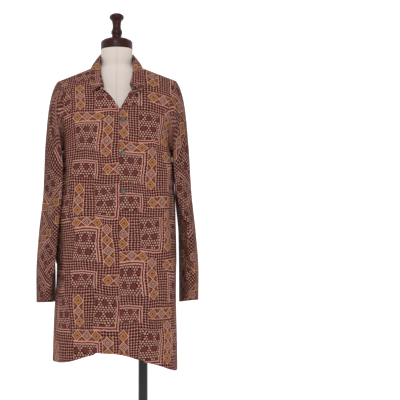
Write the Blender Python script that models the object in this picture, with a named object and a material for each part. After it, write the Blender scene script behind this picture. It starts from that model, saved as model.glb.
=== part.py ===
"""Long-sleeved blouse on a limbless dress form, in metres, +Z up.

The front faces -Y and +X is the wearer's left. The origin is the middle of the base
plate's underside, straight below the neck. Every cloth piece is a wall whose outer face
is a function of two parameters, and whose inner face is that face moved in by the wall.
"""
import math

import bmesh
import bpy
import numpy as np

# Cloth wall and the gap left at every seam
WALL = 0.0011
SEAM_GAP = 0.0004

# Body of the garment: shoulder line and underarm level
TIP_X = 0.177
TIP_Z = 1.3204
SHOULDER_SLOPE = 0.42
SHOULDER_TILT = 0.007
SHOULDER_ROUND = 0.030
SHOULDER_Y = 0.012
UNDERARM_Z = 1.105
NECK_POINT_X = 0.066
BACK_NECK_RISE = 0.020
BACK_NECK_DROP = 0.25
HEM_DROP = 0.590
SQUARENESS = 0.04
SHOULDER_TURN = math.radians(52)
BODY_SHIFT_X = -0.0025
SHIFT_TOP_Z = 1.3
SHIFT_FULL_Z = 1.1
SHOULDER_FALL = 0.24

# Centre front: lap edge, hidden underlap, and the open V above it
LAP_EDGE_X = 0.007
UNDERLAP_X = 0.030
UNDERLAP_DEPTH = 0.0022
UNDERLAP_START_X = -0.018
UNDERLAP_FULL_X = 0.003
COLLAR_END_X = 0.0454
COLLAR_END_DROP = 0.45
V_BOTTOM_DROP = 0.64

# Vertical profiles above the underarm, as four control rows.
# Columns: half width at the armhole, centre y, armhole y, centre z or drop, armhole z or drop
FRONT_ROWS = {
    "chest": (0.146, -0.078, -0.080, 0.004, 0.006),
    "bust": (0.148, -0.125, -0.094, 1.190, 1.107),
}
BACK_ROWS = {
    "chest": (0.152, 0.125, 0.078, 0.001, 0.005),
    "bust": (0.151, 0.122, 0.104, 1.200, 1.110),
}

# Sections below the underarm. Columns: height, half width, front y, back y, side y
SECTIONS = (
    (1.105, 0.1640, -0.138, 0.110, -0.005),
    (1.000, 0.1745, -0.150, 0.104, -0.012),
    (0.850, 0.1785, -0.161, 0.092, -0.022),
    (0.690, 0.1790, -0.175, 0.074, -0.035),
    (0.540, 0.1835, -0.190, 0.054, -0.045),
    (0.460, 0.1850, -0.196, 0.044, -0.048),
)

# Side slits: height of the top and of the hem, and how far each edge stands from the seam,
# out and back. Keys: face, side
SLIT_TOP = 0.780
SLIT_HEM = 0.460
SLIT_OPEN = 0.6
SLIT_EDGE = {
    (-1, -1): (0.0000, -0.012), (-1, 1): (-0.0060, -0.012),
    (1, -1): (-0.0225, 0.066), (1, 1): (-0.0225, 0.066),
}

# Hem heights. Columns: place across (-1 wearer's right, 1 wearer's left), height
FRONT_HEM = (
    (-1.00, 0.497), (-0.75, 0.5035), (-0.50, 0.509), (-0.36, 0.515), (-0.27, 0.530),
    (-0.12, 0.5410), (0.00, 0.5405), (0.25, 0.520), (0.50, 0.4965), (0.75, 0.480), (1.00, 0.474),
)
BACK_HEM = (
    (-1.00, 0.508), (-0.50, 0.520), (-0.05, 0.521), (0.10, 0.514), (0.26, 0.496),
    (0.50, 0.485), (1.00, 0.475),
)

# Deep fold that falls from the left shoulder blade. Columns: level, x, turned angle of the
# cloth in degrees, length of the hidden strand
FOLD_LINE = (
    (0.00, 0.079, 0.0, 0.002),
    (0.25, 0.078, 0.0, 0.003),
    (0.60, 0.072, 90.0, 0.006),
    (0.85, 0.066, 160.0, 0.011),
    (1.10, 0.059, 168.0, 0.016),
    (1.50, 0.050, 170.0, 0.020),
    (2.00, 0.040, 170.0, 0.024),
)
FOLD_TURN = 0.0070
FOLD_FADE = 0.045
STRAND = (0.0, 0.2, 0.4, 0.6, 0.8, 1.0, 1.5, 2.0, 2.2, 2.4, 2.6, 2.8, 3.0)
STRAND_FINE = 6

# Soft vertical folds. Columns: side (-1 front, 1 back), x at top, x at hem, height where it
# starts, half width, depth at the hem (outward positive)
DRAPES = (
    (-1, -0.072, -0.064, 1.02, 0.016, -0.0090),
    (-1, -0.125, -0.128, 0.98, 0.024, 0.0075),
    (-1, 0.092, 0.078, 1.00, 0.028, 0.0070),
    (-1, 0.134, 0.126, 0.94, 0.020, -0.0065),
    (1, -0.060, -0.066, 1.06, 0.030, -0.0080),
    (1, -0.112, -0.118, 1.00, 0.024, 0.0075),
    (1, 0.104, 0.098, 1.02, 0.026, 0.0065),
)
DRAPE_FULL_Z = 0.56
DRAPE_FOOT_Z = 0.48

# Hanging part of each sleeve.
# Columns: height, outer x, inner x, front y, back y, rise at the front, rise at the inside,
# how far the front end wraps round the body
SLEEVE_LEFT = (
    (1.060, 0.2190, 0.1820, -0.076, 0.100, 0.000, 0.000, 0.034),
    (0.980, 0.2240, 0.1840, -0.077, 0.102, 0.000, 0.000, 0.030),
    (0.870, 0.2355, 0.1865, -0.079, 0.100, 0.002, 0.000, 0.000),
    (0.770, 0.2430, 0.1875, -0.087, 0.094, 0.008, 0.000, 0.000),
    (0.664, 0.2430, 0.1880, -0.080, 0.084, 0.012, -0.003, 0.000),
)
SLEEVE_RIGHT = (
    (1.060, 0.2150, 0.1835, -0.096, 0.080, 0.000, 0.000, 0.043),
    (0.980, 0.2180, 0.1850, -0.107, 0.070, 0.000, 0.000, 0.044),
    (0.870, 0.2300, 0.1880, -0.112, 0.062, 0.002, 0.000, 0.041),
    (0.770, 0.2375, 0.1890, -0.114, 0.070, 0.010, 0.006, 0.036),
    (0.668, 0.2380, 0.1850, -0.098, 0.074, 0.012, 0.004, 0.012),
)
SLEEVE_SQUARE = 0.02
WRAP_FROM_Y = -0.030

# Sleeve cap: run out from the armhole at the underarm and more at the top, run forward, fall
# at the underarm and more at the top, and how straight it meets the hanging part
CAP_OUT = 0.040
CAP_OUT_TOP = 0.060
CAP_FORWARD = 0.030
CAP_FALL = 0.045
CAP_FALL_TOP = 0.075
CAP_ARRIVE = 1.1
NEAR_EDGE = 0.98

# Collar half, from the middle of the back to the front end. The edge lies over the body at
# a place along the shoulder and a level, below zero on the back. Columns: place, roll x,
# roll y, roll z, edge x, edge level, edge lift
COLLAR = (
    (0.00, 0.0000, 0.0690, 1.4140, 0.0000, -0.330, 0.0050),
    (0.22, 0.0325, 0.0600, 1.4130, 0.0460, -0.230, 0.0050),
    (0.45, 0.0475, 0.0260, 1.4070, 0.0705, -0.045, 0.0045),
    (0.62, 0.0490, -0.0100, 1.3860, 0.0790, 0.100, 0.0045),
    (0.82, 0.0465, -0.0500, 1.3385, 0.0890, 0.300, 0.0050),
    (1.00, 0.0380, -0.0850, 1.3000, 0.0800, 0.480, 0.0085),
)
STAND_ROWS = 4
LEAF_ROWS = 8
STAND_DROP = 0.0023
STAND_LIFT = 0.0008
LEAF_TURN = 0.0045
LEAF_LIE = 0.40

# Buttons. Columns: x, z
BUTTONS = ((0.0150, 1.1930), (0.0165, 1.0960), (0.0180, 0.9880))
BUTTON_RADIUS = 0.0074
BUTTON_THICK = 0.0030
BUTTON_GAP = 0.0003
# Columns: share of the thickness, share of the radius
BUTTON_PROFILE = ((0.0, 0.80), (0.45, 1.0), (0.8, 0.97), (1.0, 0.84), (0.75, 0.66))
BUTTON_LEVELS = (0.5, 1.6)

# Dress form. Columns: height, half width, front y, back y
TORSO = (
    (0.652, 0.138, -0.112, 0.050),
    (0.668, 0.148, -0.120, 0.056),
    (0.720, 0.152, -0.122, 0.058),
    (0.800, 0.151, -0.112, 0.066),
    (0.900, 0.140, -0.096, 0.070),
    (1.000, 0.120, -0.084, 0.066),
    (1.080, 0.128, -0.098, 0.074),
    (1.145, 0.136, -0.120, 0.086),
    (1.200, 0.138, -0.102, 0.094),
    (1.250, 0.142, -0.076, 0.092),
    (1.285, 0.154, -0.052, 0.080),
    (1.309, 0.162, -0.036, 0.056),
    (1.323, 0.155, -0.029, 0.046),
    (1.335, 0.129, -0.026, 0.046),
    (1.347, 0.097, -0.024, 0.050),
    (1.358, 0.069, -0.023, 0.058),
    (1.369, 0.051, -0.024, 0.067),
    (1.390, 0.0475, -0.0345, 0.0605),
    (1.4143, 0.0475, -0.0453, 0.0497),
)
TORSO_SQUARE = 0.03
TORSO_ROUND_Z = 1.37
TORSO_SQUARE_Z = 1.30
NECK_TOP_Y = 0.0022

# Turned wood on the neck. Columns: height above the neck, radius
CAP = (
    (0.0003, 0.0455), (0.0030, 0.0478), (0.0205, 0.0480), (0.0265, 0.0445), (0.0315, 0.0345),
    (0.0345, 0.0250), (0.0360, 0.0170),
)
FINIAL = (
    (0.0363, 0.0140), (0.0472, 0.0158), (0.0532, 0.0168), (0.0592, 0.0155), (0.0652, 0.0130),
    (0.0712, 0.0124), (0.0790, 0.0130), (0.0840, 0.0142), (0.0892, 0.0168), (0.0945, 0.0212),
    (0.0990, 0.0219), (0.1035, 0.0195), (0.1075, 0.0135), (0.1100, 0.0040),
)

# Stand
POLE_X = 0.077
POLE_Y = -0.046
POLE_RADIUS = 0.0137
BASE_RADIUS = 0.170
BASE_THICK = 0.010
BASE_BEVEL = 0.003
FLANGE_RADIUS = 0.022
FLANGE_THICK = 0.012
# Columns: share of the thickness, share of the radius
FLANGE_PROFILE = ((0, 0.9), (0.17, 1.0), (1.0, 1.0))
KNOB_RADIUS = 0.0115
KNOB_LENGTH = 0.036
KNOB_X = 0.030
KNOB_Y = -0.021
# Columns: share of the length, share of the radius
KNOB_PROFILE = ((0, 0.45), (0.5, 0.5), (0.55, 1.0), (1.0, 1.0))
PART_GAP = 0.0003

# Mesh density
UPPER_ROWS = 12
LOWER_ROWS = 11
NECK_STEPS = 6
LAP_STEPS = 4
UNDERLAP_STEPS = 6
SHOULDER_STEPS = 9
CAP_ROWS = 6
HANG_ROWS = 10
RING_STEPS = 2 * (UPPER_ROWS - 1)
FORM_STEPS = 32
TURNED_STEPS = 24
BUTTON_STEPS = 20
KNOB_STEPS = 16
BASE_STEPS = 48

# Search and probe steps
NEWTON_START = 0.7
NEWTON_STEPS = 6
NEWTON_FLOOR = 0.2
PROBE_STEP = 0.004
BUTTON_SEARCH = 400


def spline(table, column, at):
    """Smooth curve through one column of a table, as cubic pieces with averaged slopes."""
    rows = np.array(table)
    order = np.argsort(rows[:, 0])
    knots = rows[order, 0]
    values = rows[order, column]
    slopes = np.gradient(values, knots)
    at = np.clip(at, knots[0], knots[-1])
    cell = np.clip(np.searchsorted(knots, at, side="right") - 1, 0, len(knots) - 2)
    width = knots[cell + 1] - knots[cell]
    s = (at - knots[cell]) / width
    start = values[cell] * (2 * s**3 - 3 * s**2 + 1) + slopes[cell] * width * (s**3 - 2 * s**2 + s)
    end = values[cell + 1] * (3 * s**2 - 2 * s**3) + slopes[cell + 1] * width * (s**3 - s**2)
    return start + end


def bezier(a, b, c, d, v):
    """Cubic with ends a and d and handles b and c."""
    w = 1 - v
    return w**3 * a + 3 * w**2 * v * b + 3 * w * v**2 * c + v**3 * d


def ramp(low, high, value):
    """Smooth step from 0 at low to 1 at high."""
    s = np.clip((value - low) / (high - low), 0, 1)
    return s * s * (3 - 2 * s)


def turn(level):
    """Angle that the body turns through from its middle to its edge at each level."""
    return SHOULDER_TURN + (math.pi / 2 - SHOULDER_TURN) * ramp(0.45, 1.0, level)


def sideways(angle):
    """A sine with a little of its third overtone, for a rounded oval."""
    return np.sin(angle) + SQUARENESS * np.sin(3 * angle)


def across(a, level):
    """Share of the half width at place a."""
    return sideways(a * turn(level)) / sideways(turn(level))


def forward(a, level):
    """Share of the depth at place a, 1 in the middle and 0 at the edge."""
    angle = a * turn(level)
    near = np.cos(angle) - SQUARENESS * np.cos(3 * angle)
    edge = np.cos(turn(level)) - SQUARENESS * np.cos(3 * turn(level))
    return (near - edge) / (1 - SQUARENESS - edge)


def place_of(share, level):
    """Place a whose across() gives a share of the half width, by steps of Newton's rule."""
    full = turn(level)
    a = np.asarray(share) * NEWTON_START
    for _ in range(NEWTON_STEPS):
        slope = np.cos(a * full) + 3 * SQUARENESS * np.cos(3 * a * full)
        a = a - (across(a, level) - share) * sideways(full) / np.maximum(slope * full, NEWTON_FLOOR)
    return a


def half_width(face, level):
    """Half width of the body at each level, at the armhole above the underarm."""
    rows = FRONT_ROWS if face < 0 else BACK_ROWS
    height = UNDERARM_Z - (level - 1) * HEM_DROP
    upper = bezier(TIP_X, rows["chest"][0], rows["bust"][0], SECTIONS[0][1], np.clip(level, 0, 1))
    return np.where(level > 1, spline(SECTIONS, 1, height), upper)


def shoulder(x, face):
    """Height of the shoulder line at x, a little higher on the wearer's left.

    The back of the neck is raised inside the collar.
    """
    run = np.sqrt(x**2 + SHOULDER_ROUND**2)
    full = math.hypot(TIP_X, SHOULDER_ROUND)
    rise = np.clip(1 - (x / NECK_POINT_X) ** 2, 0, 1) ** 2
    height = TIP_Z + SHOULDER_TILT * x + SHOULDER_SLOPE * (full - run)
    return height + BACK_NECK_RISE * rise * (face > 0)


def drapes(face, x, z):
    """Sum of the soft vertical folds at x and z, each a bell across that deepens downwards."""
    total = np.zeros(np.broadcast(x, z).shape)
    for side, top_x, hem_x, start, half, depth in DRAPES:
        if side != face:
            continue
        down = ramp(start, DRAPE_FULL_Z, z)
        middle = top_x + (hem_x - top_x) * (start - z) / (start - DRAPE_FOOT_Z)
        total += depth * down * np.exp(-(((x - middle) / half) ** 2))
    return total


def body(face, a, level):
    """Outer face of the garment's body.

    face is -1 for the front and 1 for the back, a runs from -1 to 1 across it, and level
    is 0 at the shoulder, 1 at the underarm and 2 at the hem. Above the underarm each
    place follows a cubic from the shoulder over the chest. Below it, each height is half
    of a rounded oval, and the drapes push it in and out.
    """
    rows = FRONT_ROWS if face < 0 else BACK_ROWS
    middle = 2 if face < 0 else 3
    a, level = np.broadcast_arrays(a, level)
    share = across(a, level)
    edge = 1 - forward(a, level)
    under = SECTIONS[0]
    chest_x, chest_c, chest_e, chest_dc, chest_de = rows["chest"]
    bust_x, bust_c, bust_e, bust_zc, bust_ze = rows["bust"]
    v = np.clip(level, 0, 1)
    top_z = shoulder(TIP_X * share, face)
    x = share * bezier(TIP_X, chest_x, bust_x, under[1], v)
    y = bezier(
        SHOULDER_Y * (1 - edge),
        chest_c + (chest_e - chest_c) * edge,
        bust_c + (bust_e - bust_c) * edge,
        under[middle] + (under[4] - under[middle]) * edge,
        v,
    )
    z = bezier(
        top_z,
        top_z - (chest_dc + (chest_de - chest_dc) * edge),
        bust_zc + (bust_ze - bust_zc) * edge,
        UNDERARM_Z,
        v,
    )
    hem = FRONT_HEM if face < 0 else BACK_HEM
    low_z = UNDERARM_Z + (level - 1) * (spline(hem, 1, a) - UNDERARM_Z)
    slit = np.clip((SLIT_TOP - low_z) / (SLIT_TOP - SLIT_HEM), 0, 1) ** SLIT_OPEN
    right_edge, left_edge = SLIT_EDGE[face, -1], SLIT_EDGE[face, 1]
    side_y = spline(SECTIONS, 4, low_z) + np.where(a < 0, right_edge[1], left_edge[1]) * slit
    side_x = spline(SECTIONS, 1, low_z) + np.where(a < 0, right_edge[0], left_edge[0]) * slit
    low_x = side_x * share
    low_y = side_y + (spline(SECTIONS, middle, low_z) - side_y) * (1 - edge)
    below = level > 1
    x = np.where(below, low_x, x)
    y = np.where(below, low_y, y)
    z = np.where(below, low_z, z)
    push = drapes(face, x, z) * np.sqrt(1 - edge)
    shift = BODY_SHIFT_X * ramp(SHIFT_TOP_Z, SHIFT_FULL_Z, z)
    return np.stack((x + shift, y + face * push, z), axis=-1)


def unit(vectors):
    """Vectors scaled to length one."""
    return vectors / np.maximum(np.linalg.norm(vectors, axis=-1, keepdims=True), 1e-12)


def bisector(points, axis, wrap):
    """Direction of a grid's lines at each point, halfway between the two cells it joins."""
    if wrap:
        ahead = unit(np.roll(points, -1, axis=axis) - points)
        return ahead + np.roll(ahead, 1, axis=axis)
    ahead = unit(np.diff(points, axis=axis))
    first = ahead[:1] if axis == 0 else ahead[:, :1]
    last = ahead[-1:] if axis == 0 else ahead[:, -1:]
    return np.concatenate((first, ahead), axis=axis) + np.concatenate((ahead, last), axis=axis)


def normals(points, wrap=False):
    """Unit normals of a grid of points, square to the bisectors of its rows and columns."""
    return unit(np.cross(bisector(points, 1, wrap), bisector(points, 0, False)))


def principled(name, colour, roughness, metallic=0.0):
    """Plain material with one colour."""
    material = bpy.data.materials.new(name)
    material.use_nodes = True
    shader = material.node_tree.nodes["Principled BSDF"]
    shader.inputs["Base Color"].default_value = (*colour, 1.0)
    shader.inputs["Roughness"].default_value = roughness
    shader.inputs["Metallic"].default_value = metallic
    return material


def add_object(name, verts, faces, material, smooth=40):
    """Mesh object at the origin with its faces turned outwards."""
    mesh = bpy.data.meshes.new(name)
    mesh.from_pydata([tuple(p) for p in verts], [], faces)
    work = bmesh.new()
    work.from_mesh(mesh)
    bmesh.ops.recalc_face_normals(work, faces=work.faces)
    work.to_mesh(mesh)
    work.free()
    mesh.materials.append(material)
    mesh.shade_smooth()
    mesh.set_sharp_from_angle(angle=math.radians(smooth))
    obj = bpy.data.objects.new(name, mesh)
    bpy.context.scene.collection.objects.link(obj)
    return obj


def add_wall(name, outer, inner, material, wrap=False):
    """Closed wall between two grids of points; wrap joins the last column to the first."""
    rows, cols = outer.shape[:2]
    count = rows * cols
    verts = np.concatenate((outer.reshape(-1, 3), inner.reshape(-1, 3)))
    faces = []
    last = cols if wrap else cols - 1
    for i in range(rows - 1):
        for j in range(last):
            k = (j + 1) % cols
            quad = (i * cols + j, i * cols + k, (i + 1) * cols + k, (i + 1) * cols + j)
            faces.append(quad)
            faces.append(tuple(count + q for q in reversed(quad)))
    rim = [(0, j, 0, (j + 1) % cols) for j in range(last)]
    rim += [(rows - 1, (j + 1) % cols, rows - 1, j) for j in range(last)]
    if not wrap:
        rim += [(i + 1, 0, i, 0) for i in range(rows - 1)]
        rim += [(i, cols - 1, i + 1, cols - 1) for i in range(rows - 1)]
    for i, j, p, q in rim:
        first = i * cols + j
        second = p * cols + q
        faces.append((first, count + first, count + second, second))
    return add_object(name, verts, faces, material)


def front_columns(side):
    """Places at the shoulder from the lap edge to the armhole, and the neckline's drop."""
    start = LAP_EDGE_X if side > 0 else -UNDERLAP_X
    sweep = np.linspace(0, math.pi / 2, NECK_STEPS + 1)
    steps = LAP_STEPS if side > 0 else UNDERLAP_STEPS
    open_edge = np.linspace(start, COLLAR_END_X, steps + 1)[:-1]
    neck = COLLAR_END_X + (NECK_POINT_X - COLLAR_END_X) * np.sin(sweep)
    inner = place_of(np.concatenate((open_edge, neck)) / TIP_X, 0)
    outer = inner[-1] + (1 - inner[-1]) * np.linspace(0, 1, SHOULDER_STEPS + 1)[1:]
    bottom = side * LAP_EDGE_X
    run = np.clip((open_edge - bottom) / (COLLAR_END_X - bottom), 0, 1)
    fall = V_BOTTOM_DROP + (COLLAR_END_DROP - V_BOTTOM_DROP) * run
    drop = np.concatenate((fall, COLLAR_END_DROP * np.cos(sweep), np.zeros(len(outer))))
    return np.concatenate((inner, outer)), drop


def levels_below(drop):
    """Levels of a panel's grid: from each column's top to the underarm, then to the hem."""
    top = np.maximum(drop, SEAM_GAP / SHOULDER_FALL)
    share = np.linspace(0, 1, UPPER_ROWS)[:, None]
    lower = 1 + np.linspace(0, 1, LOWER_ROWS + 1)[1:, None] * np.ones_like(drop)
    return np.concatenate((top + (1 - top) * share, lower))


def front_panel(side):
    """Grid of one front: rows from the shoulder to the hem, columns from the lap outwards."""
    place, drop = front_columns(side)
    level = levels_below(drop)
    edge_x = LAP_EDGE_X if side > 0 else -UNDERLAP_X
    edge_x -= side * BODY_SHIFT_X
    wanted = place_of(edge_x / half_width(-1, level), level)
    fraction = (place - place[0]) / (1 - place[0])
    moved = place + (wanted - place[0]) * (1 - ramp(0.0, 0.5, fraction))
    return body(-1, side * moved, level), drop


def lay_under(points, facing):
    """Moves the strip of the right front that lies under the lap in by the lap's wall."""
    depth = UNDERLAP_DEPTH * ramp(UNDERLAP_START_X, UNDERLAP_FULL_X, points[..., 0])
    return points - facing * depth[..., None]


def clear_side(points, column, inward):
    """Pulls one column back from its seam by half the seam gap."""
    shift = points[:, column] - points[:, column + inward]
    length = np.linalg.norm(shift, axis=-1, keepdims=True)
    points = points.copy()
    points[:, column] -= shift / length * SEAM_GAP / 2
    return points


def upright_seam(facing, columns):
    """Makes the first row's normals square to the shoulder seam on the given columns."""
    facing = facing.copy()
    facing[0, columns, 1] = 0
    facing[0] /= np.linalg.norm(facing[0], axis=-1, keepdims=True)
    return facing


def make_fronts(material):
    """Both fronts; the left one laps over the right."""
    for name, side in (("front_left", 1), ("front_right", -1)):
        points, drop = front_panel(side)
        facing = -side * normals(points)
        facing = upright_seam(facing, drop == 0)
        if side < 0:
            points = lay_under(points, facing)
        points = clear_side(points, -1, -1)
        add_wall(name, points, points - facing * WALL, material)


def neck_seam():
    """Neckline from the right front end round the back to the left, on the panels' own points."""
    right = front_panel(-1)[0][0, UNDERLAP_STEPS:UNDERLAP_STEPS + NECK_STEPS + 1]
    left = front_panel(1)[0][0, LAP_STEPS:LAP_STEPS + NECK_STEPS + 1][::-1]
    back = back_panel()[0][0, SHOULDER_STEPS:SHOULDER_STEPS + 2 * NECK_STEPS + 1]
    middle = (right[-1:] + back[:1]) / 2, back[1:-1], (left[:1] + back[-1:]) / 2
    return np.concatenate((right[:-1], *middle, left[1:]))


def on_body(x, level, lift):
    """Point over the body at a place along the shoulder and a signed level, lifted off it."""
    a = np.sign(x) * place_of(np.abs(x) / TIP_X, 0)
    points = []
    for face in (-1, 1):
        flat = np.abs(level)
        here = body(face, a, flat)
        right = body(face, a + PROBE_STEP, flat) - body(face, a - PROBE_STEP, flat)
        low = body(face, a, flat + PROBE_STEP) - body(face, a, np.maximum(flat - PROBE_STEP, 0))
        n = unit(face * np.cross(right, low))
        points.append(here + n * np.asarray(lift)[..., None])
    return np.where((level < 0)[..., None], points[1], points[0])


def fold_curve(level):
    """Offsets of the fold's columns along and out of the cloth at each level.

    The cloth's direction turns through an angle, holds it along the hidden strand and
    turns back, and the offsets are the running sums of its cosine and sine, centred.
    """
    knots = np.array(STRAND)
    fine = np.interp(np.arange((len(knots) - 1) * STRAND_FINE) / STRAND_FINE + 0.5 / STRAND_FINE,
                     np.arange(len(knots)), knots)
    angle = np.radians(spline(FOLD_LINE, 2, level)) * (ramp(0, 1, fine) - ramp(2, 3, fine))
    strand = np.where((fine > 1) & (fine < 2), spline(FOLD_LINE, 3, level), FOLD_TURN)
    length = strand * np.repeat(np.diff(knots), STRAND_FINE) / STRAND_FINE
    offsets = []
    for part in (np.cos(angle), np.sin(angle)):
        steps = (part * length).reshape(len(level), -1, STRAND_FINE).sum(axis=-1)
        total = np.concatenate((np.zeros((len(level), 1)), np.cumsum(steps, axis=1)), axis=1)
        offsets.append(total - total[:, -1:] / 2)
    return offsets


def back_panel():
    """Grid of the back, columns from the wearer's right to left, folded over itself once."""
    neck = place_of(NECK_POINT_X / TIP_X, 0)
    neck_angle = np.linspace(-math.pi / 2, math.pi / 2, 2 * NECK_STEPS + 1)
    right = -1 + (1 - neck) * np.linspace(0, 1, SHOULDER_STEPS + 1)[:-1]
    middle = np.sign(neck_angle) * place_of(NECK_POINT_X / TIP_X * np.abs(np.sin(neck_angle)), 0)
    nominal = np.concatenate((right, middle))
    drop = np.zeros(len(nominal) + len(STRAND) + SHOULDER_STEPS)
    drop[len(right):len(nominal)] = BACK_NECK_DROP * np.cos(neck_angle)
    level = levels_below(drop)
    half = half_width(1, level)
    fold = slice(len(nominal), len(nominal) + len(STRAND))
    along, out = fold_curve(level[:, fold][:, :1])
    x = spline(FOLD_LINE, 1, level[:, fold]) - BODY_SHIFT_X + along
    folded = place_of(x / half[:, fold], level[:, fold])
    first, last = folded[:, :1], folded[:, -1:]
    start = folded[:1, :1]
    reach = (nominal + neck) / (start + neck)
    before = np.where(nominal < -neck, nominal, -neck + reach * (first + neck))
    after = last + (1 - last) * np.linspace(0, 1, SHOULDER_STEPS + 1)[1:]
    a = np.concatenate((before, folded, after), axis=1)
    points = body(1, a, level)
    depth = np.zeros(a.shape)
    depth[:, fold] = out
    for columns, source in ((slice(0, fold.start), fold.start), (slice(fold.stop, None), fold.stop - 1)):
        away = (a[:, columns] - a[:, source:source + 1]) * half[:, columns] * math.pi / 2
        depth[:, columns] = depth[:, source:source + 1] * np.exp(-((away / FOLD_FADE) ** 2))
    points[..., 1] += depth
    return points, drop


def make_back(material):
    """The back: a grid whose fold columns follow the fold line down."""
    points, drop = back_panel()
    facing = normals(points)
    facing = upright_seam(facing, drop < SEAM_GAP)
    points = clear_side(clear_side(points, 0, 1), -1, -1)
    add_wall("back", points, points - facing * WALL, material)


def sleeve(side):
    """Grid of a sleeve: rows from the armhole to the hem, columns round it from the top.

    The cap runs from the armhole's edge to the first hanging ring on cubics that start
    outwards. Each hanging ring is a flattened oval set by the table, and its front end
    wraps round the body's corner by the square of the way to it.
    """
    table = SLEEVE_LEFT if side > 0 else SLEEVE_RIGHT
    angle = np.linspace(0, 2 * math.pi, RING_STEPS, endpoint=False)
    front = angle <= math.pi
    v = np.where(front, angle / math.pi, 2 - angle / math.pi)
    edge = np.ones(RING_STEPS) * side
    arm = np.where(front[:, None], body(-1, edge, v), body(1, edge, v))
    near = np.where(front[:, None], body(-1, edge * NEAR_EDGE, v), body(1, edge * NEAR_EDGE, v))
    height = table[0][0] + (table[-1][0] - table[0][0]) * np.linspace(0, 1, HANG_ROWS)[:, None]
    outer, inner, fore, aft, tip, lift, wrap = (spline(table, c, height) for c in range(1, 8))
    cosine = np.cos(angle) - SLEEVE_SQUARE * np.cos(3 * angle)
    sine = np.sin(angle) + SLEEVE_SQUARE * np.sin(3 * angle)
    x = (outer + inner) / 2 + (outer - inner) / 2 * cosine / (1 - SLEEVE_SQUARE)
    y = (fore + aft) / 2 + (fore - aft) / 2 * sine / (1 - SLEEVE_SQUARE)
    z = height + tip * np.sin(angle) - lift * np.cos(angle)
    x = x - wrap * np.clip((WRAP_FROM_Y - y) / (WRAP_FROM_Y - fore), 0, 1) ** 2
    hang = np.stack((side * x, y, z), axis=-1)
    top = (1 + np.cos(angle)) / 2
    leave = np.stack((side * (CAP_OUT + CAP_OUT_TOP * top), -CAP_FORWARD * np.sin(angle),
                      -CAP_FALL - CAP_FALL_TOP * top), axis=-1)
    drop = (arm[:, 2] - hang[0, :, 2])[:, None]
    arrive = (hang[1] - hang[0]) / (hang[0, :, 2] - hang[1, :, 2])[:, None] * drop * CAP_ARRIVE
    s = np.linspace(0, 1, CAP_ROWS + 1)[:-1, None, None]
    cap = (arm * (2 * s**3 - 3 * s**2 + 1) + leave * (s**3 - 2 * s**2 + s)
           + hang[0] * (3 * s**2 - 2 * s**3) + arrive * (s**3 - s**2))
    cap[0] += unit(cap[1] - cap[0]) * SEAM_GAP + (side * SEAM_GAP, 0, 0)
    return np.concatenate((cap, hang)), unit(arm - near)


def make_sleeves(material):
    """Both sleeves, each a tube open at the armhole and the hem."""
    for name, side in (("sleeve_left", 1), ("sleeve_right", -1)):
        points, outward = sleeve(side)
        facing = normals(points, wrap=True)
        middle = points.mean(axis=1, keepdims=True)
        if ((points - middle) * facing)[-3:].sum() < 0:
            facing = -facing
        tilt = np.maximum((facing[0] * outward).sum(axis=-1, keepdims=True), 0)
        facing[0] = unit(facing[0] - outward * tilt)
        add_wall(name, points, points - facing * WALL, material, wrap=True)


def make_collar(material):
    """Stand from the neck seam to the roll, and leaf from the roll over and down."""
    half = np.linspace(0, 1, 2 * NECK_STEPS + 1)
    place = np.concatenate((-half[:0:-1], half))
    size = np.abs(place)
    sign = np.where(place < 0, -1.0, 1.0)
    seam = neck_seam()
    roll_x, roll_y, roll_z, edge_x, level, lift = (spline(COLLAR, c, size) for c in range(1, 7))
    roll = np.stack((sign * roll_x, roll_y, roll_z), axis=-1)
    edge = on_body(sign * edge_x, level, lift)
    flat = np.gradient(roll, axis=0) * (1, 1, 0)
    out = np.cross(flat, (0, 0, 1.0))
    out /= np.linalg.norm(out, axis=-1, keepdims=True)
    if out[2 * NECK_STEPS, 1] < 0:
        out = -out
    top = roll - np.array((0, 0, STAND_DROP))
    q = np.linspace(0, 1, STAND_ROWS)[:, None, None]
    start = STAND_LIFT / np.linalg.norm(top - seam, axis=-1)[:, None]
    stand = seam + (top - seam) * (start + (1 - start) * q)
    add_wall("collar_stand", stand, stand - out * WALL, material)
    q = np.linspace(0, 1, LEAF_ROWS)[:, None, None]
    near = edge + (roll - edge) * LEAF_LIE + out * LEAF_TURN
    leaf = bezier(roll, roll + out * LEAF_TURN, near, edge, q)
    facing = normals(leaf)
    if (facing[LEAF_ROWS // 2] * out).sum() < 0:
        facing = -facing
    add_wall("collar_leaf", leaf, leaf - facing * WALL, material)


def turned(name, profile, x, y, z, steps, material):
    """Solid turned about a vertical line, from heights and radii, closed flat at both ends."""
    angle = np.linspace(0, 2 * math.pi, steps, endpoint=False)
    rows = np.array(profile)
    ring = np.stack((np.cos(angle), np.sin(angle), np.zeros(steps)), axis=-1)
    points = rows[:, 1, None, None] * ring + rows[:, 0, None, None] * np.array((0, 0, 1.0))
    points += np.array((x, y, z))
    return add_solid(name, points, material)


def add_solid(name, rings, material):
    """Closed solid through a stack of rings, with one flat face at each end."""
    rows, cols = rings.shape[:2]
    faces = [tuple(range(cols)), tuple((rows - 1) * cols + j for j in range(cols))]
    for i in range(rows - 1):
        for j in range(cols):
            k = (j + 1) % cols
            faces.append((i * cols + j, i * cols + k, (i + 1) * cols + k, (i + 1) * cols + j))
    return add_object(name, rings.reshape(-1, 3), faces, material)


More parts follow.
